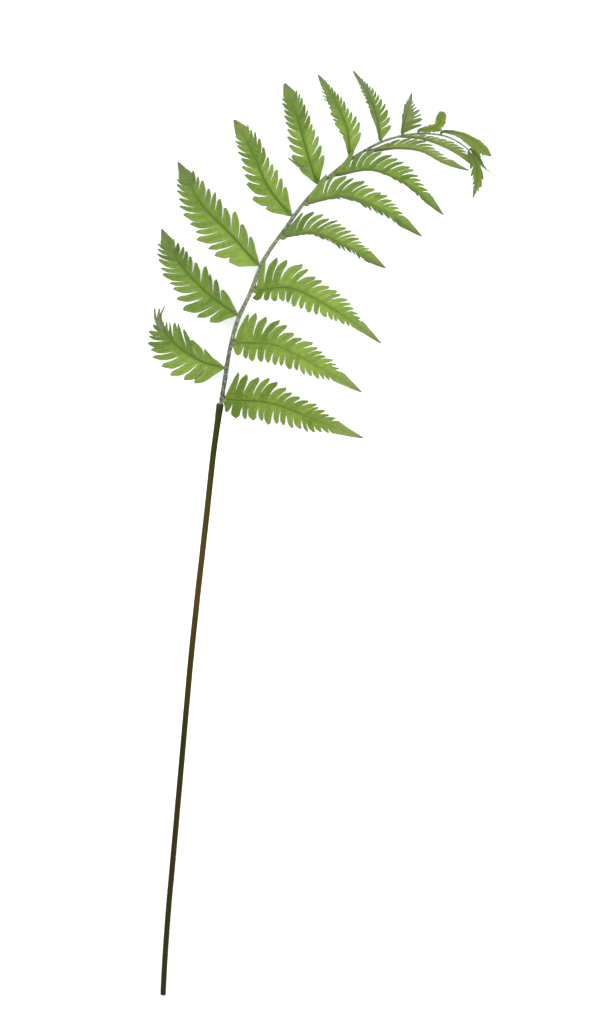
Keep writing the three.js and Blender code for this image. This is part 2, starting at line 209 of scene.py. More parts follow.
def pathObject(name, line):
    curve = bpy.data.curves.new(name, "CURVE")
    curve.dimensions = "3D"
    spline = curve.splines.new("POLY")
    spline.points.add(len(line) - 1)
    for point, spot in zip(spline.points, line):
        point.co = (*place(spot), 1)
    return newObject(name, curve)


def flatObject(name, vertices, faces, attributes):
    # The flat form of a piece: X along its path, Y to the left and Z up, in millimetres.
    mesh = bpy.data.meshes.new(name)
    mesh.from_pydata([tuple(value * mm for value in vertex) for vertex in vertices], [], faces)
    for label, values in attributes.items():
        layer = mesh.attributes.new(label, "FLOAT", "POINT")
        layer.data.foreach_set("value", np.array(values, np.float32))
    return newObject(name, mesh)


def addPattern(mesh):
    # Marks each point with its place in the piece's own box, 0 to 1 each way, for blotches and grain.
    spots = np.empty(len(mesh.vertices) * 3, np.float32)
    mesh.vertices.foreach_get("co", spots)
    spots = spots.reshape(-1, 3)
    low, high = spots.min(axis=0), spots.max(axis=0)
    layer = mesh.attributes.new("pattern", "FLOAT_VECTOR", "POINT")
    layer.data.foreach_set("vector", ((spots - low) / (high - low)).ravel())


def newTree(name, sockets):
    tree = bpy.data.node_groups.new(name, "GeometryNodeTree")
    tree.interface.new_socket("Geometry", in_out="INPUT", socket_type="NodeSocketGeometry")
    for label, kind, value in sockets:
        socket = tree.interface.new_socket(label, in_out="INPUT", socket_type="NodeSocket" + kind)
        if value is not None:
            socket.default_value = value
    tree.interface.new_socket("Geometry", in_out="OUTPUT", socket_type="NodeSocketGeometry")
    kit = NodeKit(tree)
    return kit, kit.node("NodeGroupInput")


def closeTree(kit, geometry):
    kit.node("NodeGroupOutput", None, {0: geometry})
    return kit.tree


def bakeTree(source, tree, values, name):
    # Runs the tree on source and keeps the result as a plain mesh in a new object.
    modifier = source.modifiers.new("shape", "NODES")
    modifier.node_group = tree
    for item in tree.interface.items_tree:
        if item.in_out == "INPUT" and item.name in values:
            modifier[item.identifier] = values[item.name]
    depsgraph = bpy.context.evaluated_depsgraph_get()
    mesh = bpy.data.meshes.new_from_object(source.evaluated_get(depsgraph), depsgraph=depsgraph)
    mesh.name = name
    addPattern(mesh)
    piece = newObject(name, mesh)
    for helper in [source] + [value for value in values.values() if isinstance(value, bpy.types.Object)]:
        bpy.data.objects.remove(helper)
    return piece


def laidOnPath(kit, group, path, foldLeft=None, foldRight=None, foldWeight=None):
    # Where a point of the flat form comes to lie: along the path, out to its side, and up from the blade.
    flat = kit.node("ShaderNodeSeparateXYZ", None, {0: kit.node("GeometryNodeInputPosition")})
    along, left, lift = flat.output("X"), flat.output("Y"), flat.output("Z")
    line = kit.node("GeometryNodeObjectInfo", None, {"Object": path}, "Geometry")
    spot = kit.node("GeometryNodeSampleCurve", {"mode": "LENGTH", "use_all_curves": True},
                    {"Curves": line, "Length": along + group.output("Lead")}, "Position")
    ahead = kit.vector("NORMALIZE", spot.output("Tangent"))
    leftward = kit.vector("NORMALIZE", kit.vector("CROSS_PRODUCT", (0, 0, 1), ahead))
    above = kit.vector("CROSS_PRODUCT", ahead, leftward)
    if foldWeight is None:
        sideways, upward = left, lift
    else:
        out = left.math("ABSOLUTE")
        onLeft = left.math("GREATER_THAN", 0)
        fold = (foldLeft * onLeft + foldRight * (1 - onLeft)) * foldWeight(out)
        cosine, sine = fold.math("COSINE"), fold.math("SINE")
        sideways = left * cosine - (onLeft * 2 - 1) * lift * sine
        upward = out * sine + lift * cosine
    moved = kit.vector("ADD", spot, kit.vector("SCALE", leftward, scale=sideways))
    return kit.vector("ADD", moved, kit.vector("SCALE", above, scale=upward))


# Pinnae: their flat form has every lobe, and a tree folds it and lays it along its midrib.
pinnaTreeSockets = [
    ("Path", "Object", None), ("Lead", "Float", 0), ("Length", "Float", 0.1),
    ("Left Fold Base", "Float", 0), ("Left Fold Tip", "Float", 0),
    ("Right Fold Base", "Float", 0), ("Right Fold Tip", "Float", 0),
    ("Fold Ease", "Float", 2.5), ("Fold Start", "Float", 0.0005), ("Fold End", "Float", 0.003),
    ("Wave Height", "Float", 0.0008), ("Wave Scale", "Float", 55), ("Wave Seed", "Float", 0),
    ("Wave Start", "Float", 0.001), ("Wave End", "Float", 0.012),
    ("Blade", "Material", None), ("Rib", "Material", None),
]


def makePinnaTree():
    kit, group = newTree("pinna along its midrib", pinnaTreeSockets)
    flat = kit.node("ShaderNodeSeparateXYZ", None, {0: kit.node("GeometryNodeInputPosition")})
    share = (flat / group.output("Length")).between(0, 1)
    eased = share ** group.output("Fold Ease")
    folds = [group.output(side + " Fold Base") * (1 - eased) + group.output(side + " Fold Tip") * eased
             for side in ("Left", "Right")]

    def foldWeight(out):
        return out.smooth(group.output("Fold Start"), group.output("Fold End"))

    laid = laidOnPath(kit, group, group.output("Path"), folds[0], folds[1], foldWeight)
    ripple = kit.node("ShaderNodeTexNoise", {"noise_dimensions": "4D"},
                      {"Vector": kit.node("GeometryNodeInputPosition"), "Scale": group.output("Wave Scale"),
                       "W": group.output("Wave Seed"), "Detail": 1.0}) - 0.5
    reach = flat.output("Y").math("ABSOLUTE").smooth(group.output("Wave Start"), group.output("Wave End"))
    wave = ripple * reach * group.output("Wave Height") * 2
    waved = kit.vector("ADD", laid, kit.node("ShaderNodeCombineXYZ", None, {"Z": wave}))
    bent = kit.node("GeometryNodeSetPosition", None, {"Geometry": group, "Position": waved})
    shaded = kit.node("GeometryNodeSetShadeSmooth", None, {"Geometry": bent})
    whole = kit.node("GeometryNodeRealizeInstances", None, {"Geometry": shaded})
    green = kit.node("GeometryNodeSetMaterial", None,
                     {"Geometry": whole, "Material": group.output("Blade")})
    isRib = kit.node("GeometryNodeInputNamedAttribute", {"data_type": "FLOAT"}, {"Name": "rib"},
                     "Attribute")
    return closeTree(kit, kit.node("GeometryNodeSetMaterial", None, {
        "Geometry": green, "Selection": isRib.math("GREATER_THAN", 0.5), "Material": group.output("Rib")}))


# A blade's shape, in millimetres and in shares of a length or width. Pairs in slit, baseSwell, reach, fold
# and lean are for the half towards the frond's tip and the half towards its foot.
bladeShape = {
    "thickness": 0.5,
    "rimThickness": 0.3,
    "lobedEnd": 0.76,  # share of the midrib where the lobes end and the whole tip begins
    "ribHalf": (1.2, 0.4),  # half the midrib's strip, at the base and at the tip
    "ribEnding": 12,  # how suddenly that strip closes at the tip
    "ribShoulder": 0.2,
    "ribShoulderPlace": 0.45,
    "ribGroove": 0.35,
    "ribGroovePlace": 0.05,
    "slit": ((0.12, 0.6), (0.14, 0.6)),  # width left whole inside the slits, at the base and at lobedEnd
    "slitEase": 2.0,
    "slitDrift": 0.7,
    "slitOpening": 0.28,
    "slitPlay": 0.3,
    "leastSlit": 1.7,
    "firstSlit": 0.5,
    "lastSlit": 0.88,
    "shoulder": (0.74, 0.84),  # where a lobe is widest, as a share of its reach
    "shoulderDrift": 0.95,
    "bend": (0.2, 0.8),
    "nearFill": 0.97,  # how much of its interval a lobe fills, on its near and on its far side
    "farFill": 0.9,
    "fillPlay": 0.08,
    "taper": (1.7, 2.2),
    "bluntness": (0.02, 0.1),
    "tipPull": 0.22,
    "baseSwell": (0.4, -0.8),
    "crowding": 0.22,  # makes the lobes near the tip narrower
    "pinch": 0.0,  # makes the lobes at the base narrower
    "pinchReach": 6,
    "seamPlay": 0.2,
    "leanEase": 0.7,
    "leanPlay": 3.0,
    "lengthPlay": 0.07,
    "foot": -1.9,
    # painted shade: how much darker the half towards the foot is made, where it folds down out of the light
    "footPaintedShade": 0.0,
    "shingle": 8.0,  # degrees by which lobes tilt over one another
    "shingleStart": 0.4,
    "droop": 0.09,
    "droopPlay": (-0.6, 1.6),
    "cup": 0.6,
    "cupEase": 0.8,
    "veinDepth": 0.25,
    "veinWidth": 0.16,
    "veinFade": 0.5,
    "reliefSpread": 4,  # lobes narrower than this, to each side, have a flatter relief
    "teeth": 8,
    "toothHeight": 0.24,
    "toothFade": 1.5,
    "tipBlend": 0.35,
    "leastEdge": 0.12,
    "rootRows": 5,
    "rootOut": 0.36,  # the value of out, which is 1 at a lobe's tip, at the bottom of its slits
    "lobeRows": 12,
    "lobeColumns": 10,
    "tipRows": 18,
    "lookShares": (0.1, 0.4, 0.65, 0.92),  # shares of the midrib to which light and grey belong
}

# One leaf a row, after what neighbouring leaves have in common. hand is 1 on the rachis's left and -1 on
# its right, and lobes are counted on each half. bare is the share of the midrib before the first lobe.
# reach is each half's width at every tenth of the midrib, and midrib is its path. lean and fold are degrees
# at the base and at the tip. light and grey are the blade's lightness and greyness, olive and brown its
# tints, and groove the strength of the shade painted along the midrib. petiole and knob are sizes, and
# strands are loose threads of (share of the midrib, millimetres to the left).
plainLeaf = {"petiole": 1, "knob": 0, "olive": 0.0, "brown": 0, "strands": [], "strandSize": 1}
leftLeaf = {**plainLeaf, "hand": 1, "taper": (1.8, 2.1), "lastSlit": 0.6}
broadLeft = {**leftLeaf, "lastSlit": 0.72, "nearFill": 1.0, "farFill": 0.95}
tipLeaf = {**leftLeaf, "hand": -1}
lowRight = {**plainLeaf, "hand": -1, "bare": 0.02, "slit": ((0.28, 0.65), (0.28, 0.65)), "pinch": 0.45}
middleRight = {**plainLeaf, "hand": -1, "lobes": (14, 13), "bare": 0.07, "crowding": -0.08,
               "slit": ((0.2, 0.55), (0.3, 0.6)), "farFill": 0.85, "lean": ((68, 41), (65, 40)),
               "grey": (0.1, 0, 0, 0.18), "groove": 0.5, "footPaintedShade": 0.45, "brown": 0.9}
highRight = {**plainLeaf, "hand": -1, "crowding": 0, "slit": ((0.25, 0.55), (0.3, 0.6)), "groove": 0.4,
             "brown": 1}

pinnae = [
    {**leftLeaf, "name": "left_01", "lobes": (8, 10), "bare": 0.05, "lobedEnd": 0.74,
     "reach": ((12, 20, 23.5, 23.5, 21, 16, 10, 4, 2, 1, 0.4),
               (15, 22.5, 27, 26.5, 25.5, 22, 17, 9.5, 3.5, 1, 0.4)),
     "midrib": [(57.5, 630, 24.5), (39.5, 635.5, 27), (16, 650, 30), (2, 666, 42), (-1.5, 679, 57),
                (3.5, 691, 65)],
     "fold": ((-45, -20), (3, 0)), "lean": ((65, 45), (76, 54)), "nearFill": 1.0, "farFill": 0.95,
     "light": (0.5, 0.45, 0.2, 0.15), "grey": (0, 0, 0.1, 0.35), "groove": 0.9,
     "strands": [((0.7, 1.2), (0.8, 3.5), (0.87, 5.5), (0.92, 7.8)),
                 ((0.72, 0.6), (0.84, 1.6), (0.94, 3.2))],
     "strandSize": 2.1},
    {**broadLeft, "name": "left_02", "lobes": (10, 12), "bare": 0.03, "lobedEnd": 0.82,
     "reach": ((16, 21, 25, 25, 21.5, 19, 17.5, 13.5, 7.8, 4.2, 0.9),
               (16, 23, 28, 26, 22, 20.5, 17.5, 14.5, 9.2, 4.4, 0.8)),
     "midrib": [(72.5, 683.5, 28.5), (44.5, 704, 33), (16.5, 734.5, 24), (-1.4, 768.6, 3)],
     "fold": ((-48, -20), (0, 0)), "lean": ((68, 38), (78, 42)),
     "light": (0.5, 0.45, 0.15, 0.15), "grey": (0, 0, 0.05, 0.28), "groove": 1},
    {**broadLeft, "name": "left_03", "lobes": (10, 12), "bare": 0.03, "lobedEnd": 0.82,
     "reach": ((18, 22, 27, 28, 24, 22, 17.5, 15, 10, 4.8, 0.9),
               (14, 22, 28.5, 26.5, 22.5, 22, 17, 13, 9, 4.4, 0.8)),
     "midrib": [(95.5, 733, 32), (69.5, 761, 35), (40.5, 791, 25), (15, 836, 0.6)],
     "fold": ((-46, -15), (0, 0)), "lean": ((66, 38), (78, 42)),
     "light": (0.62, 0.6, 0.3, 0.1), "grey": (0, 0, 0.05, 0.22), "groove": 1},
    {**broadLeft, "name": "left_04", "lobes": (10, 10), "bare": 0.05, "lobedEnd": 0.8,
     "reach": ((5, 16, 17, 16.5, 14, 14.5, 13.5, 11.5, 9, 5.6, 1.4),
               (9, 17.5, 20.5, 18, 17, 14, 12.2, 10, 7, 4.4, 1.2)),
     "midrib": [(127.5, 782.5, 34.5), (106.5, 808, 40.5), (89.5, 845, 31), (71.5, 878, 8)],
     "fold": ((-15, -10), (-10, -10)), "lean": ((58, 36), (72, 38)), "slit": ((0.3, 0.65), (0.2, 0.6)),
     "light": (0.7, 0.48, 0.3, 0.35), "grey": (0, 0, 0.05, 0.15), "groove": 1},
    {**broadLeft, "name": "left_05", "lobes": (11, 10), "bare": 0.05, "lobedEnd": 0.8,
     "reach": ((11, 15.5, 16, 15, 13.5, 13.5, 13, 11.8, 8.6, 5.4, 1.6),
               (5, 12.5, 17, 15.5, 14.5, 13, 12, 10.5, 7, 4.6, 1.4)),
     "midrib": [(157.5, 813, 35.5), (145, 842, 43), (135.5, 877, 34), (122, 914.5, 9)],
     "fold": ((-10, -15), (-12, -15)), "lean": ((58, 36), (70, 38)), "slit": ((0.35, 0.7), (0.22, 0.6)),
     "light": (0.62, 0.48, 0.22, 0.3), "grey": (0, 0, 0.05, 0.2), "groove": 1,
     "strands": [((0.13, 6), (0.19, 12.5), (0.285, 19.5))], "strandSize": 2.2},
    {**leftLeaf, "name": "left_06", "lobes": (11, 11), "bare": 0.06, "lobedEnd": 0.8,
     "reach": ((12, 14, 14, 12, 9.5, 8.3, 6.9, 5.7, 4.7, 3.4, 0.8),
               (4, 9.5, 13.5, 15.5, 14, 12, 10.5, 8, 5.3, 2.9, 0.5)),
     "midrib": [(187.5, 841, 37), (185, 865, 44.5), (174.5, 892, 35), (155.5, 923, 12)],
     "fold": ((-10, -40), (-50, -20)), "lean": ((60, 37), (55, 36)), "slit": ((0.25, 0.55), (0.6, 0.85)),
     "light": (0.72, 0.6, 0.4, 0.28), "grey": (0, 0.05, 0.15, 0.35), "groove": 0.8},
    {**leftLeaf, "name": "left_07", "lobes": (12, 11), "bare": 0.04, "lobedEnd": 0.8,
     "reach": ((12, 13.5, 14, 12.5, 10.4, 8, 6.6, 5, 3.4, 2, 0.5),
               (8, 10.5, 12.5, 13.2, 11, 9.4, 8, 6, 4, 2, 0.5)),
     "midrib": [(217.5, 857.5, 37), (214.5, 878, 43.5), (205.5, 903, 37), (190.5, 927, 17)],
     "fold": ((-5, -50), (-70, -40)), "lean": ((74, 40), (55, 36)), "slit": ((0.25, 0.55), (0.85, 0.92)),
     "light": (0.5, 0.4, 0.25, 0.3), "grey": (0.1, 0.15, 0.4, 0.7), "groove": 1},
    {**leftLeaf, "name": "left_08", "lobes": (7, 6), "bare": 0.08, "petiole": 0.7,
     "reach": ((15, 18, 19, 17, 14, 10, 6.6, 4, 2.2, 1.2, 0.5),
               (5, 6, 8.5, 10.5, 11, 10, 8, 5.5, 2.8, 1.5, 0.5)),
     "midrib": [(239.5, 864, 36.5), (242, 875, 46), (246, 889, 54), (249, 903, 50)],
     "fold": ((-10, -10), (-65, -40)), "lean": ((82, 40), (60, 38)), "slit": ((0.35, 0.6), (0.85, 0.92)),
     "light": (0.25, 0.3, 0.35, 0.5), "grey": (0.1, 0.4, 0.6, 1), "groove": 0.3,
     "strands": [((0.56, 2.2), (0.7, 3.4), (0.8, 4.4)), ((0.62, 1.2), (0.76, 1.8), (0.86, 2.2))]},
    {**leftLeaf, "name": "left_09", "lobes": (7, 6), "bare": 0.1, "petiole": 0.55,
     "reach": ((1.5, 3, 4, 4.2, 5, 6.5, 6, 5, 4.8, 4.2, 2.5),
               (0.8, 2, 4, 4.3, 4, 4, 5.5, 6, 5.5, 4.5, 2.5)),
     "midrib": [(256, 866, 36), (266, 867.2, 41), (274.5, 870, 45), (278.5, 877, 45), (279, 884.8, 41)],
     "fold": ((-10, -10), (-5, -10)), "lean": ((75, 55), (75, 55)), "slit": ((0.75, 0.88), (0.75, 0.88)),
     "light": (0.5, 0.4, 0.3, 0.2), "grey": (0.2, 0, 0, 0.2), "groove": 0.3, "olive": 0.3},
    {**tipLeaf, "name": "left_10", "lobes": (8, 8), "bare": 0.1, "petiole": 0.5,
     "reach": ((2.4, 2.2, 2, 2.2, 2.8, 3.4, 4, 4.4, 4.2, 2.4, 0.4),
               (2.6, 3, 4.5, 6.5, 8, 8.6, 8.5, 7.2, 5.6, 2.9, 0.4)),
     "midrib": [(279, 865.5, 32.5), (296, 863, 39), (311, 856, 38), (329, 840.5, 27)],
     "fold": ((-10, -10), (-25, 5)), "lean": ((55, 38), (55, 38)), "slit": ((0.75, 0.88), (0.75, 0.88)),
     "light": (0.55, 0.5, 0.42, 0.35), "grey": (0.3, 0.15, 0.1, 0.3), "groove": 0.3, "olive": 0.6,
     "brown": 0.3},
    {**lowRight, "name": "right_01", "lobes": (15, 15), "crowding": 0.1, "knob": 1.1,
     "reach": ((26, 26.5, 23.5, 18, 15.5, 15, 12, 8.5, 5, 3, 0.5),
               (10, 19.5, 21, 20.5, 18, 15.5, 12.5, 7.5, 5, 3.5, 0.5)),
     "midrib": [(64, 597.5, 22), (107.5, 594, 27.5), (154.5, 576.5, 21.5), (201.5, 559, 5)],
     "fold": ((5, 0), (0, -5)), "lean": ((84, 45), (115, 47)), "baseSwell": (0.4, 0),
     "light": (0.12, 0.46, 0.46, 0.8), "grey": (0, 0, 0, 0.35), "groove": 0.4, "olive": 0.3},
    {**lowRight, "name": "right_02", "lobes": (15, 15), "crowding": 0.1, "petiole": 1.2, "knob": 0.9,
     "reach": ((32, 29.5, 23.5, 19, 18, 15, 13, 9, 6, 3.8, 0.5),
               (10, 18, 19.5, 19.5, 17, 13.5, 10.5, 6, 3.8, 2.6, 0.5)),
     "midrib": [(73, 654.5, 27.5), (111, 652, 31.5), (154.5, 631, 24), (199.5, 605, 3)],
     "fold": ((5, 0), (-5, -5)), "lean": ((84, 44), (118, 47)), "baseSwell": (2.4, 0.5),
     "light": (0.28, 0.62, 0.74, 0.6), "grey": (0, 0, 0, 0.3), "groove": 0.35, "olive": 0.15},
    {**lowRight, "name": "right_03", "lobes": (16, 15), "crowding": 0.08, "petiole": 1.2, "knob": 1.15,
     "reach": ((30, 29, 23.5, 19, 17.5, 15.8, 12, 8, 5.2, 3.5, 0.5),
               (9, 15.5, 15.5, 18.5, 17.5, 13, 10.5, 6, 3.2, 2, 0.5)),
     "midrib": [(93, 707.5, 31.5), (128.5, 708.5, 35), (174.5, 685.5, 26), (219, 654, 1)],
     "fold": ((8, 0), (-30, -20)), "lean": ((80, 43), (125, 46)), "baseSwell": (3.2, -1.5),
     "light": (0.3, 0.72, 0.84, 0.42), "grey": (0, 0, 0, 0.4), "groove": 0.7},
    {**middleRight, "name": "right_04", "petiole": 1.4, "knob": 1.4,
     "reach": ((18, 21, 19.5, 18.5, 16, 13, 9.3, 7, 4.9, 3.1, 0.5),
               (7, 5, 6.5, 10.5, 11.5, 10, 8.4, 7.5, 5.2, 3, 0.5)),
     "midrib": [(120.5, 760.5, 36.5), (150.5, 763.5, 41), (189.5, 748.5, 32), (223.5, 729.5, 8)],
     "fold": ((12, 0), (-72, -20)), "light": (0.12, 0.52, 0.7, 0.32)},
    {**middleRight, "name": "right_05", "petiole": 1.35, "knob": 1.1,
     "reach": ((20, 22.5, 21.5, 18, 16.5, 13.5, 10.5, 6.4, 4.3, 2.8, 0.5),
               (13, 12, 12, 12, 12.5, 11.5, 9.5, 8.5, 5.6, 3, 0.5)),
     "midrib": [(144, 793.5, 37.5), (179.5, 800, 43), (225.5, 784.5, 33), (260, 761, 9)],
     "fold": ((12, 0), (-80, -10)), "light": (0.3, 0.4, 0.7, 0.3)},
    {**middleRight, "name": "right_06", "petiole": 1.1, "knob": 0.8,
     "reach": ((14, 20, 21, 18.5, 17, 14.5, 10, 6.7, 5, 3.2, 0.5),
               (12, 11, 10, 9.5, 7.5, 7, 6.5, 6, 4.2, 2.5, 0.5)),
     "midrib": [(173, 821, 39), (208.5, 826.5, 45), (248.5, 810, 35), (281.5, 782.5, 12)],
     "fold": ((12, 0), (-88, -10)), "light": (0.2, 0.4, 0.46, 0.3)},
    {**highRight, "name": "right_07", "lobes": (11, 11), "bare": 0.08, "petiole": 0.6, "knob": 0.6,
     "reach": ((2.5, 6, 10.5, 11, 10, 7.5, 6.5, 5.5, 4.2, 2.2, 0.5),
               (1.9, 3, 7, 8, 8, 6, 3.5, 2.2, 1.7, 1.4, 0.4)),
     "midrib": [(206.5, 844.5, 32.5), (234, 848.6, 33), (259, 846, 31), (282, 834.5, 25),
                (306.5, 827.2, 12)],
     "fold": ((-5, -10), (-88, -30)), "lean": ((42, 32), (52, 34)),
     "light": (0.7, 0.85, 0.75, 0.6), "grey": (0.25, 0.2, 0.15, 0.5), "footPaintedShade": 0.45, "olive": 0.25},
    {**highRight, "name": "right_08", "lobes": (10, 8), "bare": 0.1, "petiole": 0.5,
     "reach": ((1, 2, 4.5, 5.5, 7, 8, 8, 6, 3.2, 2, 0.5),
               (0.5, 1.2, 2, 2.6, 2.6, 2.6, 2.5, 1.8, 1.2, 1, 0.4)),
     "midrib": [(238.5, 859.5, 40.5), (261, 857.5, 37), (290.5, 846.5, 25), (314.5, 830, 8)],
     "fold": ((0, -15), (-88, -50)), "lean": ((42, 30), (50, 32)),
     "light": (0.8, 0.8, 0.9, 1.0), "grey": (0.3, 0.25, 0.2, 0.3), "olive": 0.3},
    {**tipLeaf, "name": "tip_01", "lobes": (4, 5), "bare": 0.08, "petiole": 0.5,
     "reach": ((4, 4, 4.5, 6, 6.8, 7.2, 6, 4, 2.4, 1.4, 0.4),
               (6, 7, 7.5, 7, 6, 5, 3.8, 3, 2.2, 1.2, 0.4)),
     "midrib": [(306.3, 843.5, 26), (312.5, 837, 26.5), (315, 820, 23), (310.5, 799, 12)],
     "fold": ((-15, -15), (-15, -15)), "lean": ((50, 35), (50, 35)), "slit": ((0.62, 0.8), (0.62, 0.8)),
     "light": (0.2, 0.2, 0.35, 0.4), "grey": (0.1, 0.1, 0.2, 0.4), "groove": 0.6, "olive": 0.45,
     "brown": 0.6},
    {**tipLeaf, "name": "tip_02", "lobes": (3, 4), "bare": 0.12, "petiole": 0.45,
     "reach": ((3, 4, 4, 3, 2.2, 1.8, 1.4, 1, 0.8, 0.6, 0.3),
               (4, 5, 4.6, 4, 3.5, 2.9, 2.4, 2, 1.3, 0.8, 0.3)),
     "midrib": [(309.5, 848, 24), (314.5, 842, 20), (319.5, 834.5, 15), (325, 827.5, 9)],
     "fold": ((-20, -20), (-20, -20)), "lean": ((45, 35), (45, 35)),
     "light": (0.35, 0.3, 0.3, 0.3), "grey": (0.2, 0.2, 0.3, 0.4), "groove": 0.4, "olive": 0.3,
     "brown": 0.4,
     "strands": [((0.6, 0), (0.9, 0), (1.1, 1), (1.48, 4))], "strandSize": 0.65},
]

# A stem's stations are (x, y, z, radius) from its foot to its end. Its foot and end are closed by rings of
# (place, radius), which are counted from the start of the path and from its end.
stalkShape = {
    "stations": [(0, 0, 2.66, 2.3), (0.1, 0.8, 2.66, 2.75), (1.7, 32, 2.66, 2.75), (5.5, 85, 4, 2.8),
                 (10.1, 137, 5.7, 2.85), (14.6, 187, 7.4, 2.9), (19.1, 237, 9.2, 2.9),
                 (28.1, 337, 12.7, 2.95), (33.3, 387, 14.4, 3), (38.9, 437, 16, 3),
                 (44.6, 487, 17.6, 3.05), (50, 537, 19.1, 3.05), (53.3, 562, 19.9, 3.1),
                 (55.4, 577, 20.4, 3.3), (56.9, 588, 20.8, 3.65), (57.5, 592.3, 20.95, 3.8),
                 (57.6, 593.3, 21, 3.5)],
    "footRings": [(0.25, 0), (0.1, 0.9), (0, 1.7), (0.15, 2.25), (0.6, 2.6)],
    "endRings": [(-0.1, 3.4), (0.7, 2.95), (1.1, 2.6), (1, 2.4), (0.2, 2.0)],
    "evenRings": (1.4, -1.2),  # where the even rings start and stop
    "rings": 240,
    "sides": 32,
    "boreRadius": 2.0,
    "boreDepth": 15.4,
    "boreEdge": 0.2,
    "flutes": [(0.012, 7, 0.01), (0.008, 3, -0.023)],  # height, count round the stem, twist for each mm
    "lumps": (0.014, 0.11, 0.03),
    "resting": (60, 30),  # the part that lies on the table, round and a little flat below
    "flatness": (0.94, 0.3),
    "cutDepth": (0.9, 0.1),
    "collarLength": 7,
    "flecks": {"Fleck Density": 9000.0, "Fleck Size": 0.00016, "Fleck Seed": 5},
}

rachisShape = {
    "stations": [(58.9, 597.5, 21.3, 2.15), (61.5, 612, 22.5, 2.2), (67.2, 647, 25.5, 2.2),
                 (75.2, 676.7, 28, 2.15), (86.9, 702, 30, 2.15), (102.7, 739, 32.5, 2.15),
                 (122, 767, 34, 2.05), (142.7, 795, 35, 1.75), (167.1, 820.4, 36, 1.55),
                 (193.1, 840.3, 36.5, 1.4),
                 (222.8, 855.9, 36.5, 1.25), (252.5, 862.5, 35, 1), (278.5, 861.5, 32, 0.85),
                 (293.5, 856, 29.5, 0.75), (306.5, 847, 26, 0.7)],
    "footRings": [(0, 0), (0, 1.2), (0.4, 1.6), (14.7, 1.6), (14.9, 1.75)],
    "endRings": [(-0.3, 0.6), (0, 0.3), (0.05, 0)],
    "evenRings": (15.4, -0.8),
    "rings": 260,
    "sides": 24,
    "spigotRadius": 1.6,
    "spigotPlaces": (15, 7.5, 0.5),  # how deep in the stalk's bore the spigot's path has its points
    "spigotShift": 0.8,
    "knuckleLength": 2.8,
    "plainKnuckle": 0.3,
    "grooveDepth": 0.16,
    "grooveWidth": 0.45,
    "grooveStart": (20, 60),
    "ridges": (0.02, 5, 0.05),
    "lumps": (0.015, 0.35),
    "flecks": {"Fleck Density": 60000.0, "Fleck Size": 0.00016, "Fleck Seed": 8},
}

strandShape = {"rings": 16, "sides": 6, "root": 1.1, "end": 0.45, "tipLength": 0.2}
strandLook = {"light": 0.4, "grey": 0.7}

petioleShape = {
    "cupHeight": 1.9, "pegGap": 0.3, "pegRoot": 0.3, "rootRadius": 1.7, "rootEnd": 0.8, "neckRadius": 1.05,
    "flareLength": 3.5, "flareRings": 6, "ribRings": 40, "ribEnd": (0.985, 0.22), "ribTip": 0.99,
    "ribTaper": 0.8, "sides": 12, "under": 1.3, "underRise": (-2, 4), "underTip": 0.4,
    "knobLength": 2.7, "knobRadius": 2.5, "knobRings": 9, "knobRoundness": 0.8, "knobHeight": 0.8,
    "knobPlace": -1.2, "knobShift": 1.1, "knobLift": 0.3,
}


def mix(low, high, share):
    return low + (high - low) * share


def limited(value, low=0.0, high=1.0):
    return max(low, min(high, value))


def softStep(low, high, value):
    t = limited((value - low) / (high - low))
    return t * t * (3 - 2 * t)


def seededDraw(seed, spread=7919, factor=48271, modulus=2**31 - 1):
    # repeatable draws between -1 and 1
    state = seed * spread + 17

    def draw():
        nonlocal state
        state = (state * factor) % modulus
        return state / modulus * 2 - 1
    return draw


class Sheet:
    # A flat sheet of faces that becomes a thin closed body: along, left and lift in millimetres.
    def __init__(self):
        self.points = []
        self.faces = []
        self.marks = []

    def add(self, along, left, lift, **marks):
        self.points.append([along, left, lift])
        self.marks.append(marks)
        return len(self.points) - 1

    def face(self, *corners):
        corners = list(dict.fromkeys(corners))
        if len(corners) < 3:
            return
        xs = [self.points[i][0] for i in corners]
        ys = [self.points[i][1] for i in corners]
        area = sum(x * ys[(n + 1) % len(xs)] - y * xs[(n + 1) % len(xs)]
                   for n, (x, y) in enumerate(zip(xs, ys)))
        self.faces.append(corners if area > 0 else corners[::-1])

    def grid(self, rows):
        for near, far in zip(rows, rows[1:]):
            for i in range(len(near) - 1):
                self.face(near[i], near[i + 1], far[i + 1], far[i])


def closedSheet(sheet, shape):
    # Top and underside, with a wall along every edge that has one face only.
    count = len(sheet.points)
    edges = dict.fromkeys(edge for corners in sheet.faces
                          for edge in zip(corners, corners[1:] + corners[:1]))
    rim = [(a, b) for a, b in edges if (b, a) not in edges]
    onRim = {i for edge in rim for i in edge}
    half = [shape["rimThickness"] / 2 if i in onRim else shape["thickness"] / 2 for i in range(count)]
    top = [(x, y, z + half[i]) for i, (x, y, z) in enumerate(sheet.points)]
    under = [(x, y, z - half[i]) for i, (x, y, z) in enumerate(sheet.points)]
    faces = [list(corners) for corners in sheet.faces]
    faces += [[i + count for i in reversed(corners)] for corners in sheet.faces]
    faces += [[a, a + count, b + count, b] for a, b in rim]
    marks = sheet.marks + [{**mark, "under": 1.0} for mark in sheet.marks]
    return top + under, faces, marks


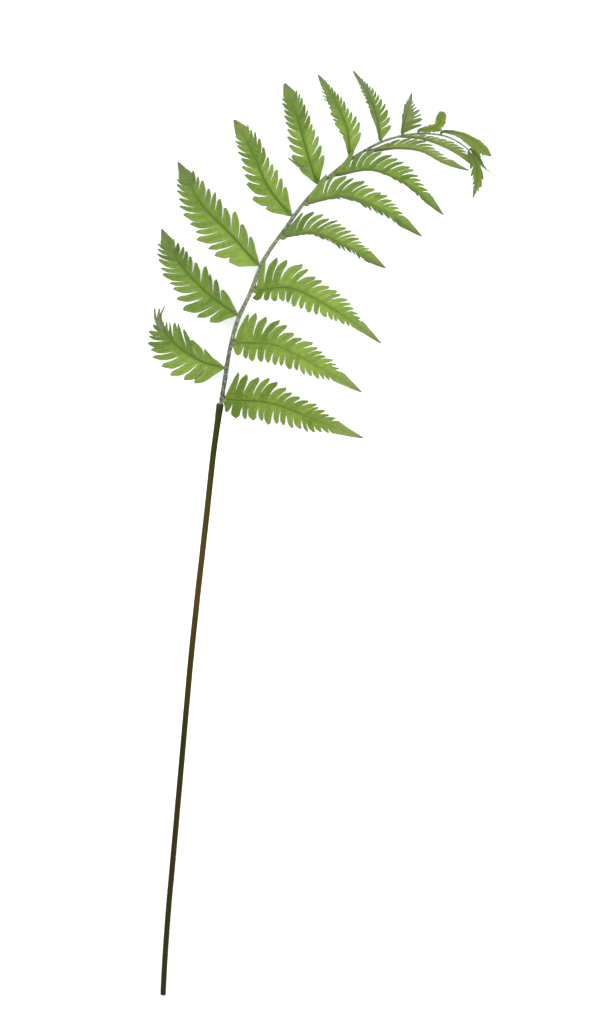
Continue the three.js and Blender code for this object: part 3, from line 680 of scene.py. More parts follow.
def turnedForm(profile, sides, ripple=None):
    # A closed round form along X from rings of (along, radius), with a pole at each end.
    points = [(profile[0][0], 0, 0)]
    faces = []
    for along, radius in profile[1:-1]:
        for k in range(sides):
            turn = 2 * math.pi * k / sides
            size = radius * (ripple(along, turn) if ripple else 1)
            points.append((along, size * math.cos(turn), size * math.sin(turn)))
    points.append((profile[-1][0], 0, 0))
    rings = len(profile) - 2
    last = len(points) - 1
    for k in range(sides):
        after = (k + 1) % sides
        faces.append((0, 1 + after, 1 + k))
        faces.append((last, last - sides + k, last - sides + after))
        for ring in range(rings - 1):
            base = 1 + ring * sides
            faces.append((base + k, base + after, base + sides + after, base + sides + k))
    return points, faces


# The rachis's axis, and where each pinna is seated on it.
collarTop = np.array(stalkShape["stations"][-1][:3], float)
collarBelow = np.array(stalkShape["stations"][-4][:3], float)
intoCollar = (collarBelow - collarTop) / np.linalg.norm(collarBelow - collarTop)
boreMouth = collarTop + (rachisShape["spigotShift"], 0, 0)
rachisLine, rachisRadii = stationPath(rachisShape["stations"])
for pinna in pinnae:
    base = np.array(pinna["midrib"][0], float)
    nearest = int(np.argmin(np.linalg.norm(rachisLine - base, axis=1)))
    outward = base - rachisLine[nearest]
    pinna["seat"] = {"index": nearest, "centre": rachisLine[nearest], "radius": rachisRadii[nearest],
                     "outward": outward / np.linalg.norm(outward)}


class HalfBlade:
    # One half of a leaf's blade: half is 0 towards the frond's tip and 1 towards its foot. A share is a
    # place on the midrib, from 0 at the blade's base to 1 at its tip.
    def __init__(self, pinna, half, length, sheet, swing, play):
        self.shape = {**bladeShape, **pinna}
        self.half = half
        self.side = -pinna["hand"] if half == 0 else pinna["hand"]  # 1 to the left, -1 to the right
        self.lobes = pinna["lobes"][half]
        self.length = length
        self.sheet = sheet
        self.swing = swing
        self.play = play

    def ribHalf(self, share):
        shape = self.shape
        return mix(*shape["ribHalf"], limited(share)) * min(1, shape["ribEnding"] * (1.01 - share))

    def width(self, share):
        widths = self.shape["reach"][self.half]
        return float(np.interp(share, np.linspace(0, 1, len(widths)), widths))

    def lean(self, share):
        shape = self.shape
        angle = mix(*shape["lean"][self.half], limited(share / shape["lobedEnd"]) ** shape["leanEase"])
        return 1 / math.tan(math.radians(angle))

    def look(self, share, out=0.0, across=0.5, tone=0.5, groove=0.0, paintedShade=0.0):
        light, grey = [float(np.interp(share, self.shape["lookShares"], self.shape[key]))
                       for key in ("light", "grey")]
        return {"share": share, "out": out, "across": across, "tone": tone, "groove": groove,
                "light": light - paintedShade, "grey": grey}

    def point(self, spot, lift, *marks):
        # the half towards the foot gets painted shade, taken off its lightness
        paintedShade = self.shape["footPaintedShade"] * self.half
        return self.sheet.add(spot[0], self.side * spot[1], lift, **self.look(*marks, paintedShade=paintedShade))

    def drawAll(self):
        columns = self.shape["lobeColumns"]
        shares = self.lobeShares()
        feet = [self.shape["foot"] / self.length] + shares[1:]  # where each seam leaves the midrib
        rib = self.drawRib(feet)
        bounds, plans = self.planLobes(shares)
        slits = self.slitBottoms(bounds, plans[0])
        seams = self.drawSeams(rib, feet, slits, plans)
        for k, plan in enumerate(plans):
            self.drawLobe(plan, rib[k * columns:(k + 1) * columns + 1], feet[k:k + 2], slits[k:k + 2],
                          seams[k:k + 2])
        self.drawTip(rib[self.lobes * columns:], shares[-1], slits[-1], seams[-1])

    def lobeShares(self):
        shape = self.shape
        shares = []
        for k in range(self.lobes + 1):
            part = k / self.lobes
            pinch = shape["pinch"] * math.exp(-shape["pinchReach"] * part)
            part *= 1 + shape["crowding"] * (1 - part) - pinch * (1 - part)
            shares.append(mix(shape["bare"], shape["lobedEnd"], part))
        return shares

    def drawRib(self, feet):
        # The midrib's own strip: a shoulder beside it, and a groove down its middle.
        shape = self.shape
        columns, tipRows = shape["lobeColumns"], shape["tipRows"]
        stops = []
        for near, far in zip(feet, feet[1:]):
            stops += [mix(near, far, j / columns) for j in range(columns)]
        stops += [mix(feet[-1], 1, row / tipRows) for row in range(tipRows + 1)]
        strip = []
        for share in stops:
            fade = 1 - limited(share)
            edge = self.ribHalf(share) * self.side
            strip.append([
                self.sheet.add(share * self.length, edge, 0, **self.look(share)),
                self.sheet.add(share * self.length, edge * shape["ribShoulderPlace"],
                               shape["ribShoulder"] * fade, **self.look(share, groove=0.3)),
                self.sheet.add(share * self.length, edge * shape["ribGroovePlace"],
                               -shape["ribGroove"] * fade, **self.look(share, groove=1.0))])
        self.sheet.grid(strip)
        return [row[0] for row in strip]

    def planLobes(self, shares):
        # The bounds between the lobes, and each lobe's own shoulder, tip and chance differences.
        shape, play = self.shape, self.play
        gaps = [b - a for a, b in zip(shares, shares[1:])]
        bounds = [shares[0]] + [share + gap * shape["seamPlay"] * play.uniform(-1, 1)
                                for share, gap in zip(shares[1:-1], gaps)] + [shares[-1]]
        plans = []
        for near, far in zip(bounds, bounds[1:]):
            share = (near + far) / 2
            reach = self.width(share) * (1 + shape["lengthPlay"] * self.swing())
            turned = self.lean(share) + math.radians(shape["leanPlay"]) * self.swing()
            shoulderOut = reach * mix(*shape["shoulder"], share)
            spread = (far - near) * self.length / 2
            middle = share * self.length
            plans.append({
                "share": share,
                "shoulder": np.array([middle + shoulderOut * turned * shape["shoulderDrift"], shoulderOut]),
                "tip": np.array([middle + reach * turned + spread * shape["tipPull"], reach]),
                "spread": spread,
                "fill": [fill * (1 - shape["fillPlay"] * play.random())
                         for fill in (shape["nearFill"], shape["farFill"])],
                "blunt": play.uniform(*shape["bluntness"]),
                "shingle": math.radians(shape["shingle"]) * play.uniform(-1, 1),
                "droop": shape["droop"] * play.uniform(*shape["droopPlay"]),
                "tone": play.random(),
            })
        return bounds, plans

    def slitBottom(self, share, out):
        return np.array([share * self.length + out * self.lean(share) * self.shape["slitDrift"], out])

    def slitBottoms(self, bounds, firstPlan):
        shape, lobedEnd = self.shape, self.shape["lobedEnd"]
        slits = []
        for share in bounds:
            depth = mix(*shape["slit"][self.half], (share / lobedEnd) ** shape["slitEase"])
            out = depth * self.width(share)
            out = max(out * (1 + shape["slitPlay"] * self.play.uniform(-1, 1)), shape["leastSlit"])
            slits.append(self.slitBottom(share, out))
        slits[-1] = self.slitBottom(lobedEnd, shape["lastSlit"] * self.width(lobedEnd))
        # the first one lies on the way from the midrib's foot to the first lobe's shoulder
        firstEdge = np.array([shape["foot"], self.ribHalf(0)])
        nearShoulder = firstPlan["shoulder"] - (firstPlan["spread"] * firstPlan["fill"][0], 0)
        slits[0] = firstEdge + (nearShoulder - firstEdge) * shape["firstSlit"]
        slits[0] = slits[0] - (shape["baseSwell"][self.half], 0)
        return slits

    def drawSeams(self, rib, feet, slits, plans):
        # Seams run from the midrib to the bottom of each slit, and the lobes on both sides share them.
        shape = self.shape
        seams = []
        for k, share in enumerate(feet):
            foot = np.array([share * self.length, self.ribHalf(share)])
            tones = [plans[n]["tone"] for n in (k - 1, k) if 0 <= n < self.lobes]
            seam = [rib[k * shape["lobeColumns"]]]
            for row in range(1, shape["rootRows"] + 1):
                part = row / shape["rootRows"]
                seam.append(self.point(foot + (slits[k] - foot) * part, 0, share, shape["rootOut"] * part,
                                       1.0, sum(tones) / len(tones)))
            seams.append(seam)
        return seams

    def drawLobe(self, plan, rib, feet, slits, seams):
        # t runs from the bottom of the slits, 0, to the lobe's tip, 1, and q from its near edge, -1, to its
        # far edge, 1. The lobe's middle is a curve through its shoulder.
        shape, share, tone = self.shape, plan["share"], plan["tone"]
        shoulder, tip, spread = plan["shoulder"], plan["tip"], plan["spread"]
        rootRows, columns, rootOut = shape["rootRows"], shape["lobeColumns"], shape["rootOut"]
        start = (slits[0] + slits[1]) / 2
        halfStart = (slits[1] - slits[0]) / 2
        halfFull = np.array([spread, 0.0])
        bend = limited((shoulder[1] - start[1]) / max(tip[1] - start[1], 0.1), *shape["bend"])
        control = (shoulder - (1 - bend) ** 2 * start - bend**2 * tip) / (2 * bend * (1 - bend))
        freeLength = np.linalg.norm(tip - start)
        size = min(1, spread / shape["reliefSpread"])

        def fullness(t, far):
            # how much of its interval the lobe fills at t
            fill = plan["fill"][far]
            if t < bend:
                return 1 - (1 - fill) * (t / bend) ** shape["slitOpening"]
            beyond = (t - bend) / (1 - bend)
            return max(fill * (1 - beyond ** shape["taper"][far]), plan["blunt"])

        def relief(t, q):
            vein = -shape["veinDepth"] * math.exp(-(q / shape["veinWidth"]) ** 2)
            vein *= 1 - shape["veinFade"] * t
            cup = -shape["cup"] * q * q * math.sin(math.pi * limited(t, 0.02, 1) ** shape["cupEase"])
            tilt = math.tan(plan["shingle"]) * q * spread * softStep(0, shape["shingleStart"], t)
            return (vein + cup) * size + tilt - plan["droop"] * freeLength * t * t

        rows = [rib]
        for row in range(1, rootRows + 1):
            part = row / rootRows
            line = [seams[0][row]]
            for j in range(1, columns):
                across = j / columns
                q = 2 * across - 1
                foot = np.array([mix(*feet, across) * self.length, self.ribHalf(share)])
                spot = foot + (slits[0] + (slits[1] - slits[0]) * across - foot) * part
                line.append(self.point(spot, relief(0, q) * part * (1 - q * q), share, rootOut * part,
                                       abs(q), tone))
            line.append(seams[1][row])
            rows.append(line)
        for row in range(1, shape["lobeRows"] + 1):
            t = row / shape["lobeRows"]
            centre = (1 - t) ** 2 * start + 2 * t * (1 - t) * control + t**2 * tip
            reachOut = halfStart + (halfFull - halfStart) * min(1, t / bend)
            line = []
            for j in range(columns + 1):
                q = 2 * j / columns - 1
                full = fullness(t, q > 0)
                line.append(self.point(centre + reachOut * q * full, relief(t, q * full), share,
                                       rootOut + (1 - rootOut) * t, abs(q), tone))
            rows.append(line)
        self.sheet.grid(rows)

    def drawTip(self, rib, lastShare, lastSlit, seam):
        # Past the last lobe the blade is whole, with teeth that fade out towards its tip.
        shape = self.shape
        tipRows, columns = shape["tipRows"], shape["rootRows"]
        edgeLean = lastSlit[0] - lastShare * self.length
        rows = [seam]
        for row in range(1, tipRows + 1):
            part = row / tipRows
            share = mix(lastShare, 1, part)
            edge = mix(lastSlit[1], self.width(share), softStep(0, shape["tipBlend"], part))
            saw = (part * shape["teeth"]) % 1
            edge *= 1 + shape["toothHeight"] * saw * (1 - part) ** shape["toothFade"]
            edge = max(edge, self.ribHalf(share) + shape["leastEdge"])
            line = [rib[row]]
            for column in range(1, columns + 1):
                out = mix(self.ribHalf(share), edge, column / columns)
                spot = (share * self.length + edgeLean * (1 - part) * column / columns, out)
                line.append(self.point(spot, 0, share, shape["rootOut"] * column / columns,
                                       1.0 - 0.5 * part, 0.5))
            rows.append(line)
        self.sheet.grid(rows)


def flatPinna(pinna, seed, length):
    # Both halves of the blade, with the groove of the midrib between them.
    sheet = Sheet()
    swing = seededDraw(seed)
    play = random.Random(seed)
    for half in (0, 1):
        HalfBlade(pinna, half, length, sheet, swing, play).drawAll()
    return sheet


def petioleForm(length, lead, slimness):
    # The rib from inside the rachis, through the petiole, to the tip of the blade.
    shape = petioleShape
    rootRadius, neckRadius = shape["rootRadius"] * slimness, shape["neckRadius"] * slimness
    ribStart = shape["flareLength"] - lead
    ribEnd, ribEndRadius = shape["ribEnd"]
    profile = [(-lead, 0), (-lead, rootRadius * shape["rootEnd"])]
    for ring in range(1, shape["flareRings"] + 1):
        part = ring / shape["flareRings"]
        profile.append((mix(-lead, ribStart, part), mix(rootRadius, neckRadius, softStep(0, 1, part))))
    for ring in range(1, shape["ribRings"] + 1):
        part = ring / shape["ribRings"]
        profile.append((mix(ribStart, length * ribEnd, part),
                        mix(neckRadius, ribEndRadius, part ** shape["ribTaper"])))
    points, faces = turnedForm(profile + [(length * shape["ribTip"], 0)], shape["sides"])

    def sunk(along, lift):
        depth = shape["under"] * softStep(*shape["underRise"], along)
        return lift - depth * mix(1, shape["underTip"], max(along, 0) / length)

    return [(along, left, sunk(along, lift)) for along, left, lift in points], faces


def knobForm(size, hand):
    # The small swelling at the foot of a petiole, beside the rachis.
    shape = petioleShape
    profile = [(-shape["knobLength"], 0)]
    for ring in range(1, shape["knobRings"]):
        turn = math.pi * ring / shape["knobRings"]
        profile.append((-shape["knobLength"] * math.cos(turn),
                        shape["knobRadius"] * math.sin(turn) ** shape["knobRoundness"]))
    profile.append((shape["knobLength"], 0))
    points, faces = turnedForm(profile, shape["sides"])
    return [(along * size + shape["knobPlace"], (left + hand * shape["knobShift"]) * size,
             lift * size * shape["knobHeight"] + shape["knobLift"]) for along, left, lift in points], faces


def strandForm(strand, length, size):
    # A thin thread that leaves the blade.
    shape = strandShape
    shares, lefts = zip(*strand)
    steps = np.linspace(0, 1, shape["rings"])
    alongs = np.interp(steps, np.linspace(0, 1, len(shares)), shares) * length
    sides = np.interp(steps, np.linspace(0, 1, len(lefts)), lefts)
    radii = [mix(shape["root"], shape["end"], step) * size for step in steps]
    profile = [(alongs[0], 0), *zip(alongs, radii), (alongs[-1] + shape["tipLength"], 0)]
    points, faces = turnedForm(profile, shape["sides"])
    return [(along, left + float(np.interp(along, alongs, sides)), lift)
            for along, left, lift in points], faces


# What the leaf materials read at each point. share runs along the midrib, out from it to a lobe's tip, and
# across from a lobe's middle vein to its edges. tone differs from lobe to lobe, and under, rib and knob are
# 1 on those parts. The second row is the same all over one leaf.
pointLabels = ("share", "out", "across", "tone", "light", "grey", "groove", "under", "rib", "knob")
leafLabels = {"ribDark": "groove", "ribBrown": "brown", "olive": "olive"}


def makePinna(pinna, seed, tree, materials):
    shape, seat = petioleShape, pinna["seat"]
    start = seat["centre"] + seat["outward"] * (seat["radius"] + shape["cupHeight"] + shape["pegGap"])
    root = seat["centre"] + seat["outward"] * seat["radius"] * shape["pegRoot"]
    line = smoothPath([root, start] + pinna["midrib"][1:])
    lengths = lengthAlong(line)
    lead = float(lengths[int(np.argmin(np.linalg.norm(line - start, axis=1)))])
    length = float(lengths[-1]) - lead
    points, faces, marks = closedSheet(flatPinna(pinna, seed, length), bladeShape)

    def addForm(form, markOf):
        # joins a closed form to the leaf; markOf gives a point's marks from its place along
        offset = len(points)
        points.extend(form[0])
        faces.extend([i + offset for i in corners] for corners in form[1])
        marks.extend({"across": 0.5, "tone": 0.5, **markOf(point[0])} for point in form[0])

    addForm(petioleForm(length, lead, pinna["petiole"]),
            lambda along: {"rib": 1.0, "share": limited(along / length)})
    if pinna["knob"]:
        addForm(knobForm(pinna["knob"], pinna["hand"]), lambda along: {"rib": 1.0, "knob": 1.0})
    for strand in pinna["strands"]:
        strandMark = {"share": limited(strand[0][0]), **strandLook}
        addForm(strandForm(strand, length, pinna["strandSize"]), lambda along: strandMark)

    attributes = {label: [mark.get(label, 0.0) for mark in marks] for label in pointLabels}
    for label, key in leafLabels.items():
        attributes[label] = [pinna[key]] * len(points)
    name = "pinna_" + pinna["name"]
    source = flatObject(name + "_flat", points, faces, attributes)
    leftHalf = 0 if pinna["hand"] < 0 else 1  # which of fold's pairs lies to the left
    left, right = pinna["fold"][leftHalf], pinna["fold"][1 - leftHalf]
    piece = bakeTree(source, tree, {
        "Path": pathObject(name + "_path", lengthened(line, 20)), "Lead": lead * mm, "Length": length * mm,
        "Left Fold Base": math.radians(left[0]), "Left Fold Tip": math.radians(left[1]),
        "Right Fold Base": math.radians(right[0]), "Right Fold Tip": math.radians(right[1]),
        "Wave Seed": float(seed), "Blade": materials[0], "Rib": materials[1],
    }, name + "_leaf")
    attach(piece, "root")
    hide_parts(name)


# Stems: a turned form that a tree lays along its path, with small raised flecks scattered over it.
stemTreeSockets = [
    ("Path", "Object", None), ("Lead", "Float", 0),
    ("Fleck Density", "Float", 20000), ("Fleck Size", "Float", 0.00025), ("Fleck Seed", "Int", 3),
    ("Fleck Least", "Vector", (0.5, 0.5, 0.3)), ("Fleck Most", "Vector", (1.2, 2.6, 0.7)),
    ("Surface", "Material", None),
]


def makeStemTree():
    kit, group = newTree("stem along its path", stemTreeSockets)
    laid = laidOnPath(kit, group, group.output("Path"))
    bent = kit.node("GeometryNodeSetPosition", None, {"Geometry": group, "Position": laid})
    seed = group.output("Fleck Seed")
    spots = kit.node("GeometryNodeDistributePointsOnFaces", {"distribute_method": "RANDOM"},
                     {"Mesh": bent, "Density": group.output("Fleck Density"), "Seed": seed})
    fleck = kit.node("GeometryNodeMeshIcoSphere", None,
                     {"Radius": group.output("Fleck Size"), "Subdivisions": 1})
    size = kit.node("FunctionNodeRandomValue", {"data_type": "FLOAT_VECTOR"},
                    {"Min": group.output("Fleck Least"), "Max": group.output("Fleck Most"), "Seed": seed})
    placed = kit.node("GeometryNodeInstanceOnPoints", None, {
        "Points": spots, "Instance": fleck, "Rotation": spots.output("Rotation"), "Scale": size})
    joined = kit.node("GeometryNodeJoinGeometry", None, {"Geometry": [bent, placed]})
    whole = kit.node("GeometryNodeRealizeInstances", None, {"Geometry": joined})
    shaded = kit.node("GeometryNodeSetShadeSmooth", None, {"Geometry": whole})
    return closeTree(kit, kit.node("GeometryNodeSetMaterial", None,
                                   {"Geometry": shaded, "Material": group.output("Surface")}))


def stemProfile(shape, lengths, radii):
    # Rings of (along, radius): those of the foot, even ones on the path's radii, and those of the end.
    total = float(lengths[-1])
    first, last = shape["evenRings"]
    profile = list(shape["footRings"])
    profile += [(along, float(np.interp(along, lengths, radii)))
                for along in np.linspace(first, total + last, shape["rings"])]
    return profile + [(total + along, radius) for along, radius in shape["endRings"]]


def makeStem(name, shape, line, form, attributes, tree, material):
    source = flatObject(name + "_flat", *form, attributes)
    return bakeTree(source, tree, {"Path": pathObject(name + "_path", lengthened(line, 1)), "Lead": 0.0,
                                   **shape["flecks"], "Surface": material}, name + "_stem")


def makeStalk(tree, material):
    shape = stalkShape
    line, radii = stationPath(shape["stations"])
    lengths = lengthAlong(line)
    total = float(lengths[-1])
    boreEnd = total - shape["boreDepth"]
    profile = stemProfile(shape, lengths, radii) + [(boreEnd, shape["boreRadius"]), (boreEnd, 0)]

    def ripple(along, turn):
        flutes = sum(height * math.cos(count * turn + along * twist)
                     for height, count, twist in shape["flutes"])
        height, spacing, twist = shape["lumps"]
        lumps = height * math.sin(along * spacing) * math.cos(turn + along * twist)
        resting = softStep(*shape["resting"], along)
        below, depth = shape["flatness"]
        flat = resting * max(0, -math.sin(turn) - below) * depth
        return 1 + (flutes + lumps) * (1 - resting) - flat

    form = turnedForm(profile, shape["sides"], ripple)
    places = [(along, side, math.hypot(side, lift)) for along, side, lift in form[0]]
    widest = shape["boreRadius"] + shape["boreEdge"]
    piece = makeStem("stalk", shape, line, form, {
        "along": [along / total for along, _, _ in places],
        "inside": [1.0 if out < widest and along > total / 2 else 0.0 for along, _, out in places],
        "cut": [softStep(*shape["cutDepth"], along) for along, _, _ in places],
        "collar": [limited((along - total + shape["collarLength"]) / shape["collarLength"])
                   for along, _, _ in places],
        # side is 1 on the left and -1 on the right, for the painted shade and painted sheen of the upper
        # end
        "side": [side / max(out, 0.1) for _, side, out in places],
    }, tree, material)
    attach(piece, "root")
    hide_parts("stalk")


def makeRachis(tree, material):
    shape = rachisShape
    foot = [boreMouth + intoCollar * depth for depth in shape["spigotPlaces"]]
    line = np.vstack([foot, rachisLine])
    lengths = lengthAlong(line)
    total = float(lengths[-1])
    radii = np.concatenate([[shape["spigotRadius"]] * len(foot), rachisRadii])
    seats = [(float(lengths[pinna["seat"]["index"] + len(foot)]),
              math.atan2(pinna["seat"]["outward"][2], pinna["hand"]),
              pinna["knob"] or shape["plainKnuckle"]) for pinna in pinnae]

    def nearSeat(along, turn):
        # how far a place lies on one of the small knuckles that carry the leaves
        most = 0
        for seatAlong, seatTurn, size in seats:
            facing = max(0, math.cos(turn - seatTurn)) ** 2
            most = max(most, size * facing * math.exp(-((along - seatAlong) / shape["knuckleLength"]) ** 2))
        return most

    def inGroove(turn):
        # the groove runs along the top, a quarter of a turn from the left side
        return math.exp(-((turn - math.pi / 2) / shape["grooveWidth"]) ** 2)

    def ripple(along, turn):
        ridgeHeight, ridges, twist = shape["ridges"]
        lumpHeight, spacing = shape["lumps"]
        grain = ridgeHeight * math.cos(ridges * turn + along * twist)
        grain += lumpHeight * math.sin(along * spacing)
        groove = shape["grooveDepth"] * inGroove(turn) * softStep(*shape["grooveStart"], along)
        return (1 + nearSeat(along, turn) + grain) * (1 - groove)

    form = turnedForm(stemProfile(shape, lengths, radii), shape["sides"], ripple)
    places = [(along, math.atan2(lift, left)) for along, left, lift in form[0]]
    piece = makeStem("rachis", shape, line, form, {
        "along": [along / total for along, _ in places],
        "groove": [inGroove(turn) for _, turn in places],
        "seat": [nearSeat(along, turn) for along, turn in places],
    }, tree, material)
    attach(piece, "root")
    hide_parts("rachis")


# Materials: each has its base colour, and lays further colours over it. Attributes say where a point lies.
def newMaterial(name, roughness, specular=0.5):
    material = bpy.data.materials.new(name)
    material.use_nodes = True
    shader = material.node_tree.nodes["Principled BSDF"]
    shader.inputs["Roughness"].default_value = roughness
    shader.inputs["Specular IOR Level"].default_value = specular
    return material, shader, NodeKit(material.node_tree)


def connect(kit, shader, colour, roughness, height, strength, distance=0.0002):
    bump = kit.node("ShaderNodeBump", None, {"Strength": strength, "Distance": distance, "Height": height})
    for socket, wire in (("Base Color", colour), ("Roughness", roughness), ("Normal", bump)):
        kit.tree.links.new(wire.socket, shader.inputs[socket])


bladeLook = {
    "dark": linear(61, 84, 17),
    "light": linear(110, 132, 52),
    # deep colours the fine veins, and is also the painted shade beside the midrib
    "deep": linear(66, 92, 21),
    "olive": linear(91, 98, 17),
    "brown": linear(82, 78, 54),
    "tip": linear(89, 87, 75),
    "grey": linear(96, 100, 80),
    # the colour of the painted shade in the midrib's groove
    "vein": linear(59, 85, 18),
    "under": linear(97, 112, 76),
    "broadScale": 24,
    "patchScale": 110,
    "fineScale": 420,
    "lobeSpread": 0.42,  # how far lightness differs between lobes, and with each of the three noises
    "broadSpread": 0.8,
    "patchSpread": 1.1,
    "fineSpread": 0.5,
    "edgeLight": 0.12,
    "sideVeins": (26, 3),  # how many from midrib to tip, and how far they slant
    # how strongly painted shade darkens the blade beside the midrib
    "paintedRibShade": 0.6,
    "rimStrength": 0.5,
    "tipStrength": 0.8,
    "brownStrength": 0.8,
    "underStrength": 0.75,
    "roughness": (0.56, 0.16),  # the least, and what the fine noise adds
    "bump": 0.5,
}


def bladeMaterial():
    look = bladeLook
    material, shader, kit = newMaterial("leaf blade", 0.62, specular=0.2)
    share, out, across, groove, ribDark = [kit.attribute(label)
                                           for label in ("share", "out", "across", "groove", "ribDark")]
    pattern = kit.attribute("pattern", "Vector")
    broad = kit.noise(pattern, look["broadScale"], detail=2)
    patches = kit.noise(pattern, look["patchScale"])
    fine = kit.noise(pattern, look["fineScale"])
    light = kit.attribute("light") + (kit.attribute("tone") - 0.5) * look["lobeSpread"]
    light = light + (broad - 0.5) * look["broadSpread"] + (patches - 0.5) * look["patchSpread"]
    light = light + (fine - 0.5) * look["fineSpread"] + across.smooth(0.1, 0.7) * look["edgeLight"]
    # fine veins run out from each lobe's middle vein to its edges
    count, slant = look["sideVeins"]
    sideVeins = ((out * count - across * slant).math("SINE") * 0.5 + 0.5) ** 6
    middleVein = 1 - across.smooth(0.02, 0.16)
    veins = middleVein * 0.25 + sideVeins * 0.12 * across.smooth(0.1, 0.3)
    fading = 1 - share.smooth(0.6, 0.95)
    # painted shade: the blade is made darker beside the midrib, at the feet of the lobes
    paintedShadeBesideRib = (1 - out.smooth(0.0, 0.2)) * look["paintedRibShade"]
    rimmed = across.smooth(0.74, 1.0) * out.smooth(0.38, 0.6)
    browned = groove.smooth(0, 0.3) * (1 - share.smooth(0.25, 0.6)) * kit.attribute("ribBrown")
    ending = (share + (fine - 0.5) * 0.05).smooth(0.92, 0.985) * (1 - groove)
    lobeTips = (out + (fine - 0.5) * 0.25).smooth(0.88, 1.02)
    colour = kit.layered(
        look["dark"],
        (light.between(-0.1, 1.15), look["light"]),
        (kit.attribute("olive") * patches.smooth(0.3, 0.6), look["olive"]),
        (veins * (1 - groove), look["deep"]),
        # painted shade beside the midrib, and in the midrib's groove
        (paintedShadeBesideRib * fading * ribDark, look["deep"]),
        (groove.smooth(0.15, 0.6) * fading * ribDark, look["vein"]),
        (rimmed * look["rimStrength"], look["tip"]),
        (browned * look["brownStrength"], look["brown"]),
        (kit.attribute("grey"), look["grey"]),
        (ending * look["tipStrength"], look["tip"]),
        (lobeTips * look["tipStrength"], look["tip"]),
        (kit.attribute("under") * look["underStrength"], look["under"]))
    least, added = look["roughness"]
    height = fine * 0.4 + sideVeins * across.smooth(0.05, 0.25) * 0.5
    connect(kit, shader, colour, least + fine * added, height, look["bump"])
    return material


ribLook = {"knob": linear(84, 96, 42), "base": linear(66, 76, 36), "tip": linear(100, 118, 62),
           "speck": linear(118, 118, 90), "grainScale": 420, "roughness": (0.42, 0.2), "bump": 0.4}


def ribMaterial():
    look = ribLook
    material, shader, kit = newMaterial("leaf rib and petiole", 0.5)
    grain = kit.noise(kit.attribute("pattern", "Vector"), look["grainScale"])
    colour = kit.layered(
        look["base"],
        (kit.attribute("share").smooth(0.0, 0.35), look["tip"]),
        (kit.attribute("knob"), look["knob"]),
        (grain.smooth(0.52, 0.7) * 0.4, look["speck"]))
    least, added = look["roughness"]
    connect(kit, shader, colour, least + grain * added, grain, look["bump"])
    return material


stalkLook = {
    "stops": [(0.0, linear(35, 38, 16)), (0.14, linear(36, 38, 12)), (0.23, linear(39, 34, 8)),
              (0.32, linear(43, 37, 7)), (0.41, linear(38, 40, 10)), (0.57, linear(49, 42, 7)),
              (0.67, linear(61, 48, 14)), (0.82, linear(57, 50, 12)), (0.93, linear(43, 45, 14))],
    "red": linear(54, 38, 14),
    "cut": linear(64, 70, 42),
    "band": linear(50, 48, 42),
    "rim": linear(118, 118, 100),
    # a painted grey sheen, where light falls on the left side
    "paintedSheen": linear(72, 74, 58),
    # for dark streaks, and also painted shade on the right side and inside the bore
    "dark": linear(18, 18, 12),
    "streakScale": (260, 26, 260),
    "blotchScale": 14,
    "coat": (0.02, 0.22),  # weight and roughness
    "roughness": (0.28, 0.2),
    "bump": 0.35,
}


def stalkMaterial():
    look = stalkLook
    material, shader, kit = newMaterial("stalk skin", 0.34, specular=0.04)
    shader.inputs["Coat Weight"].default_value, shader.inputs["Coat Roughness"].default_value = look["coat"]
    along, side = kit.attribute("along"), kit.attribute("side")
    stretched = kit.node("ShaderNodeMapping", None, {
        "Vector": kit.node("ShaderNodeTexCoord", output="Object"), "Scale": look["streakScale"]})
    streaks = kit.noise(stretched, 1.0, detail=4, roughness=0.6)
    blotches = kit.noise(kit.attribute("pattern", "Vector"), look["blotchScale"])
    # the upper end has painted shade on its right and a painted grey sheen on its left, with a grey band
    # and a pale rim
    upper = along.smooth(0.6, 0.95)
    collar = kit.attribute("collar") + (streaks - 0.5) * 0.2
    colour = kit.layered(
        kit.node("ShaderNodeValToRGB", {"stops": look["stops"]}, {0: along + (blotches - 0.5) * 0.12}),
        (blotches.smooth(0.55, 0.75) * 0.5, look["red"]),
        (streaks.smooth(0.5, 0.8) * 0.4, look["dark"]),
        # painted shade on the right side, and a painted sheen on the left
        ((side * -1).smooth(0.3, 0.95) * upper * 0.75, look["dark"]),
        (side.smooth(0.55, 0.95) * upper * 0.6, look["paintedSheen"]),
        (collar.smooth(0.3, 0.6) * 0.6, look["band"]),
        (collar.smooth(0.93, 1.0) * 0.8, look["rim"]),
        (kit.attribute("cut") * 0.85, look["cut"]),
        # painted shade: the inside of the bore is coloured near black
        (kit.attribute("inside"), look["dark"]))
    least, added = look["roughness"]
    connect(kit, shader, colour, least + streaks * added, streaks, look["bump"], distance=0.0003)
    return material


rachisLook = {"low": linear(56, 55, 46), "high": linear(99, 105, 82), "groove": linear(70, 72, 54),
              "speck": linear(140, 144, 124), "dark": linear(50, 47, 38), "seat": linear(62, 64, 34),
              "speckScale": 430, "blotchScale": 60, "roughness": (0.5, 0.2), "bump": 0.5}


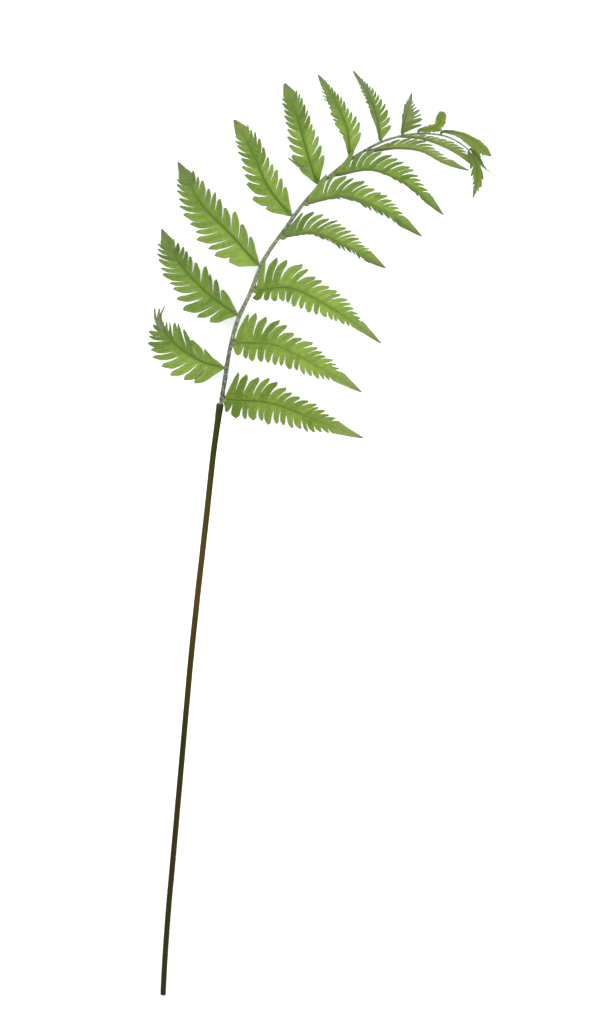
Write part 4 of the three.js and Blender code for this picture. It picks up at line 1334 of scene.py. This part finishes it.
def rachisMaterial():
    look = rachisLook
    material, shader, kit = newMaterial("rachis skin", 0.58, specular=0.25)
    place3d = kit.node("ShaderNodeTexCoord", output="Object")
    specks = kit.noise(place3d, look["speckScale"], roughness=0.65)
    blotches = kit.noise(place3d, look["blotchScale"])
    colour = kit.layered(
        look["low"],
        ((kit.attribute("along") + (blotches - 0.5) * 0.15).smooth(0.08, 0.3), look["high"]),
        (kit.attribute("groove") * 0.5, look["groove"]),
        (specks.smooth(0.52, 0.64) * 0.8, look["speck"]),
        ((1 - specks).smooth(0.54, 0.66) * 0.8, look["dark"]),
        (kit.attribute("seat").smooth(0.1, 0.6) * 0.85, look["seat"]))
    least, added = look["roughness"]
    connect(kit, shader, colour, least + specks * added, specks, look["bump"])
    return material


stemTree = makeStemTree()
makeStalk(stemTree, stalkMaterial())
makeRachis(stemTree, rachisMaterial())
print("stems made")

pinnaTree = makePinnaTree()
leafMaterials = (bladeMaterial(), ribMaterial())
for number, pinna in enumerate(pinnae):
    makePinna(pinna, number + 1, pinnaTree, leafMaterials)
print("leaves made")


# Studio: a pale floor under a pale sky, and two soft lamps of (name, place, size, power).
studio = {"floorSize": 12, "floorColour": (0.975, 0.98, 0.98, 1), "floorRoughness": 0.7,
          "floorSpecular": 0.2, "skyColour": (0.97, 0.985, 1.0, 1), "skyStrength": 1.5, "aim": (0, 0.1, 0),
          "lamps": [("key lamp", (-1.2, 1.0, 2.6), 3.2, 46), ("fill lamp", (1.6, -1.2, 2.8), 3.2, 44)]}

floorMesh = bpy.data.meshes.new("floor")
reach = studio["floorSize"] / 2
floorMesh.from_pydata([(-reach, -reach, 0), (reach, -reach, 0), (reach, reach, 0), (-reach, reach, 0)], [],
                      [(0, 1, 2, 3)])
floor = newObject("floor", floorMesh)
floorMaterial, floorShader = newMaterial("floor", studio["floorRoughness"], studio["floorSpecular"])[:2]
floorShader.inputs["Base Color"].default_value = studio["floorColour"]
floorMesh.materials.append(floorMaterial)

world = bpy.data.worlds.new("studio sky")
world.use_nodes = True
sky = world.node_tree.nodes["Background"]
sky.inputs["Color"].default_value = studio["skyColour"]
sky.inputs["Strength"].default_value = studio["skyStrength"]
bpy.context.scene.world = world

for name, spot, size, power in studio["lamps"]:
    lamp = newObject(name, bpy.data.lights.new(name, "AREA"))
    lamp.data.shape = "DISK"
    lamp.data.size = size
    lamp.data.energy = power
    lamp.location = spot
    lamp.rotation_euler = (Vector(studio["aim"]) - Vector(spot)).to_track_quat("-Z", "Y").to_euler()

bpy.context.scene.view_settings.view_transform = "Standard"
print("studio lit")
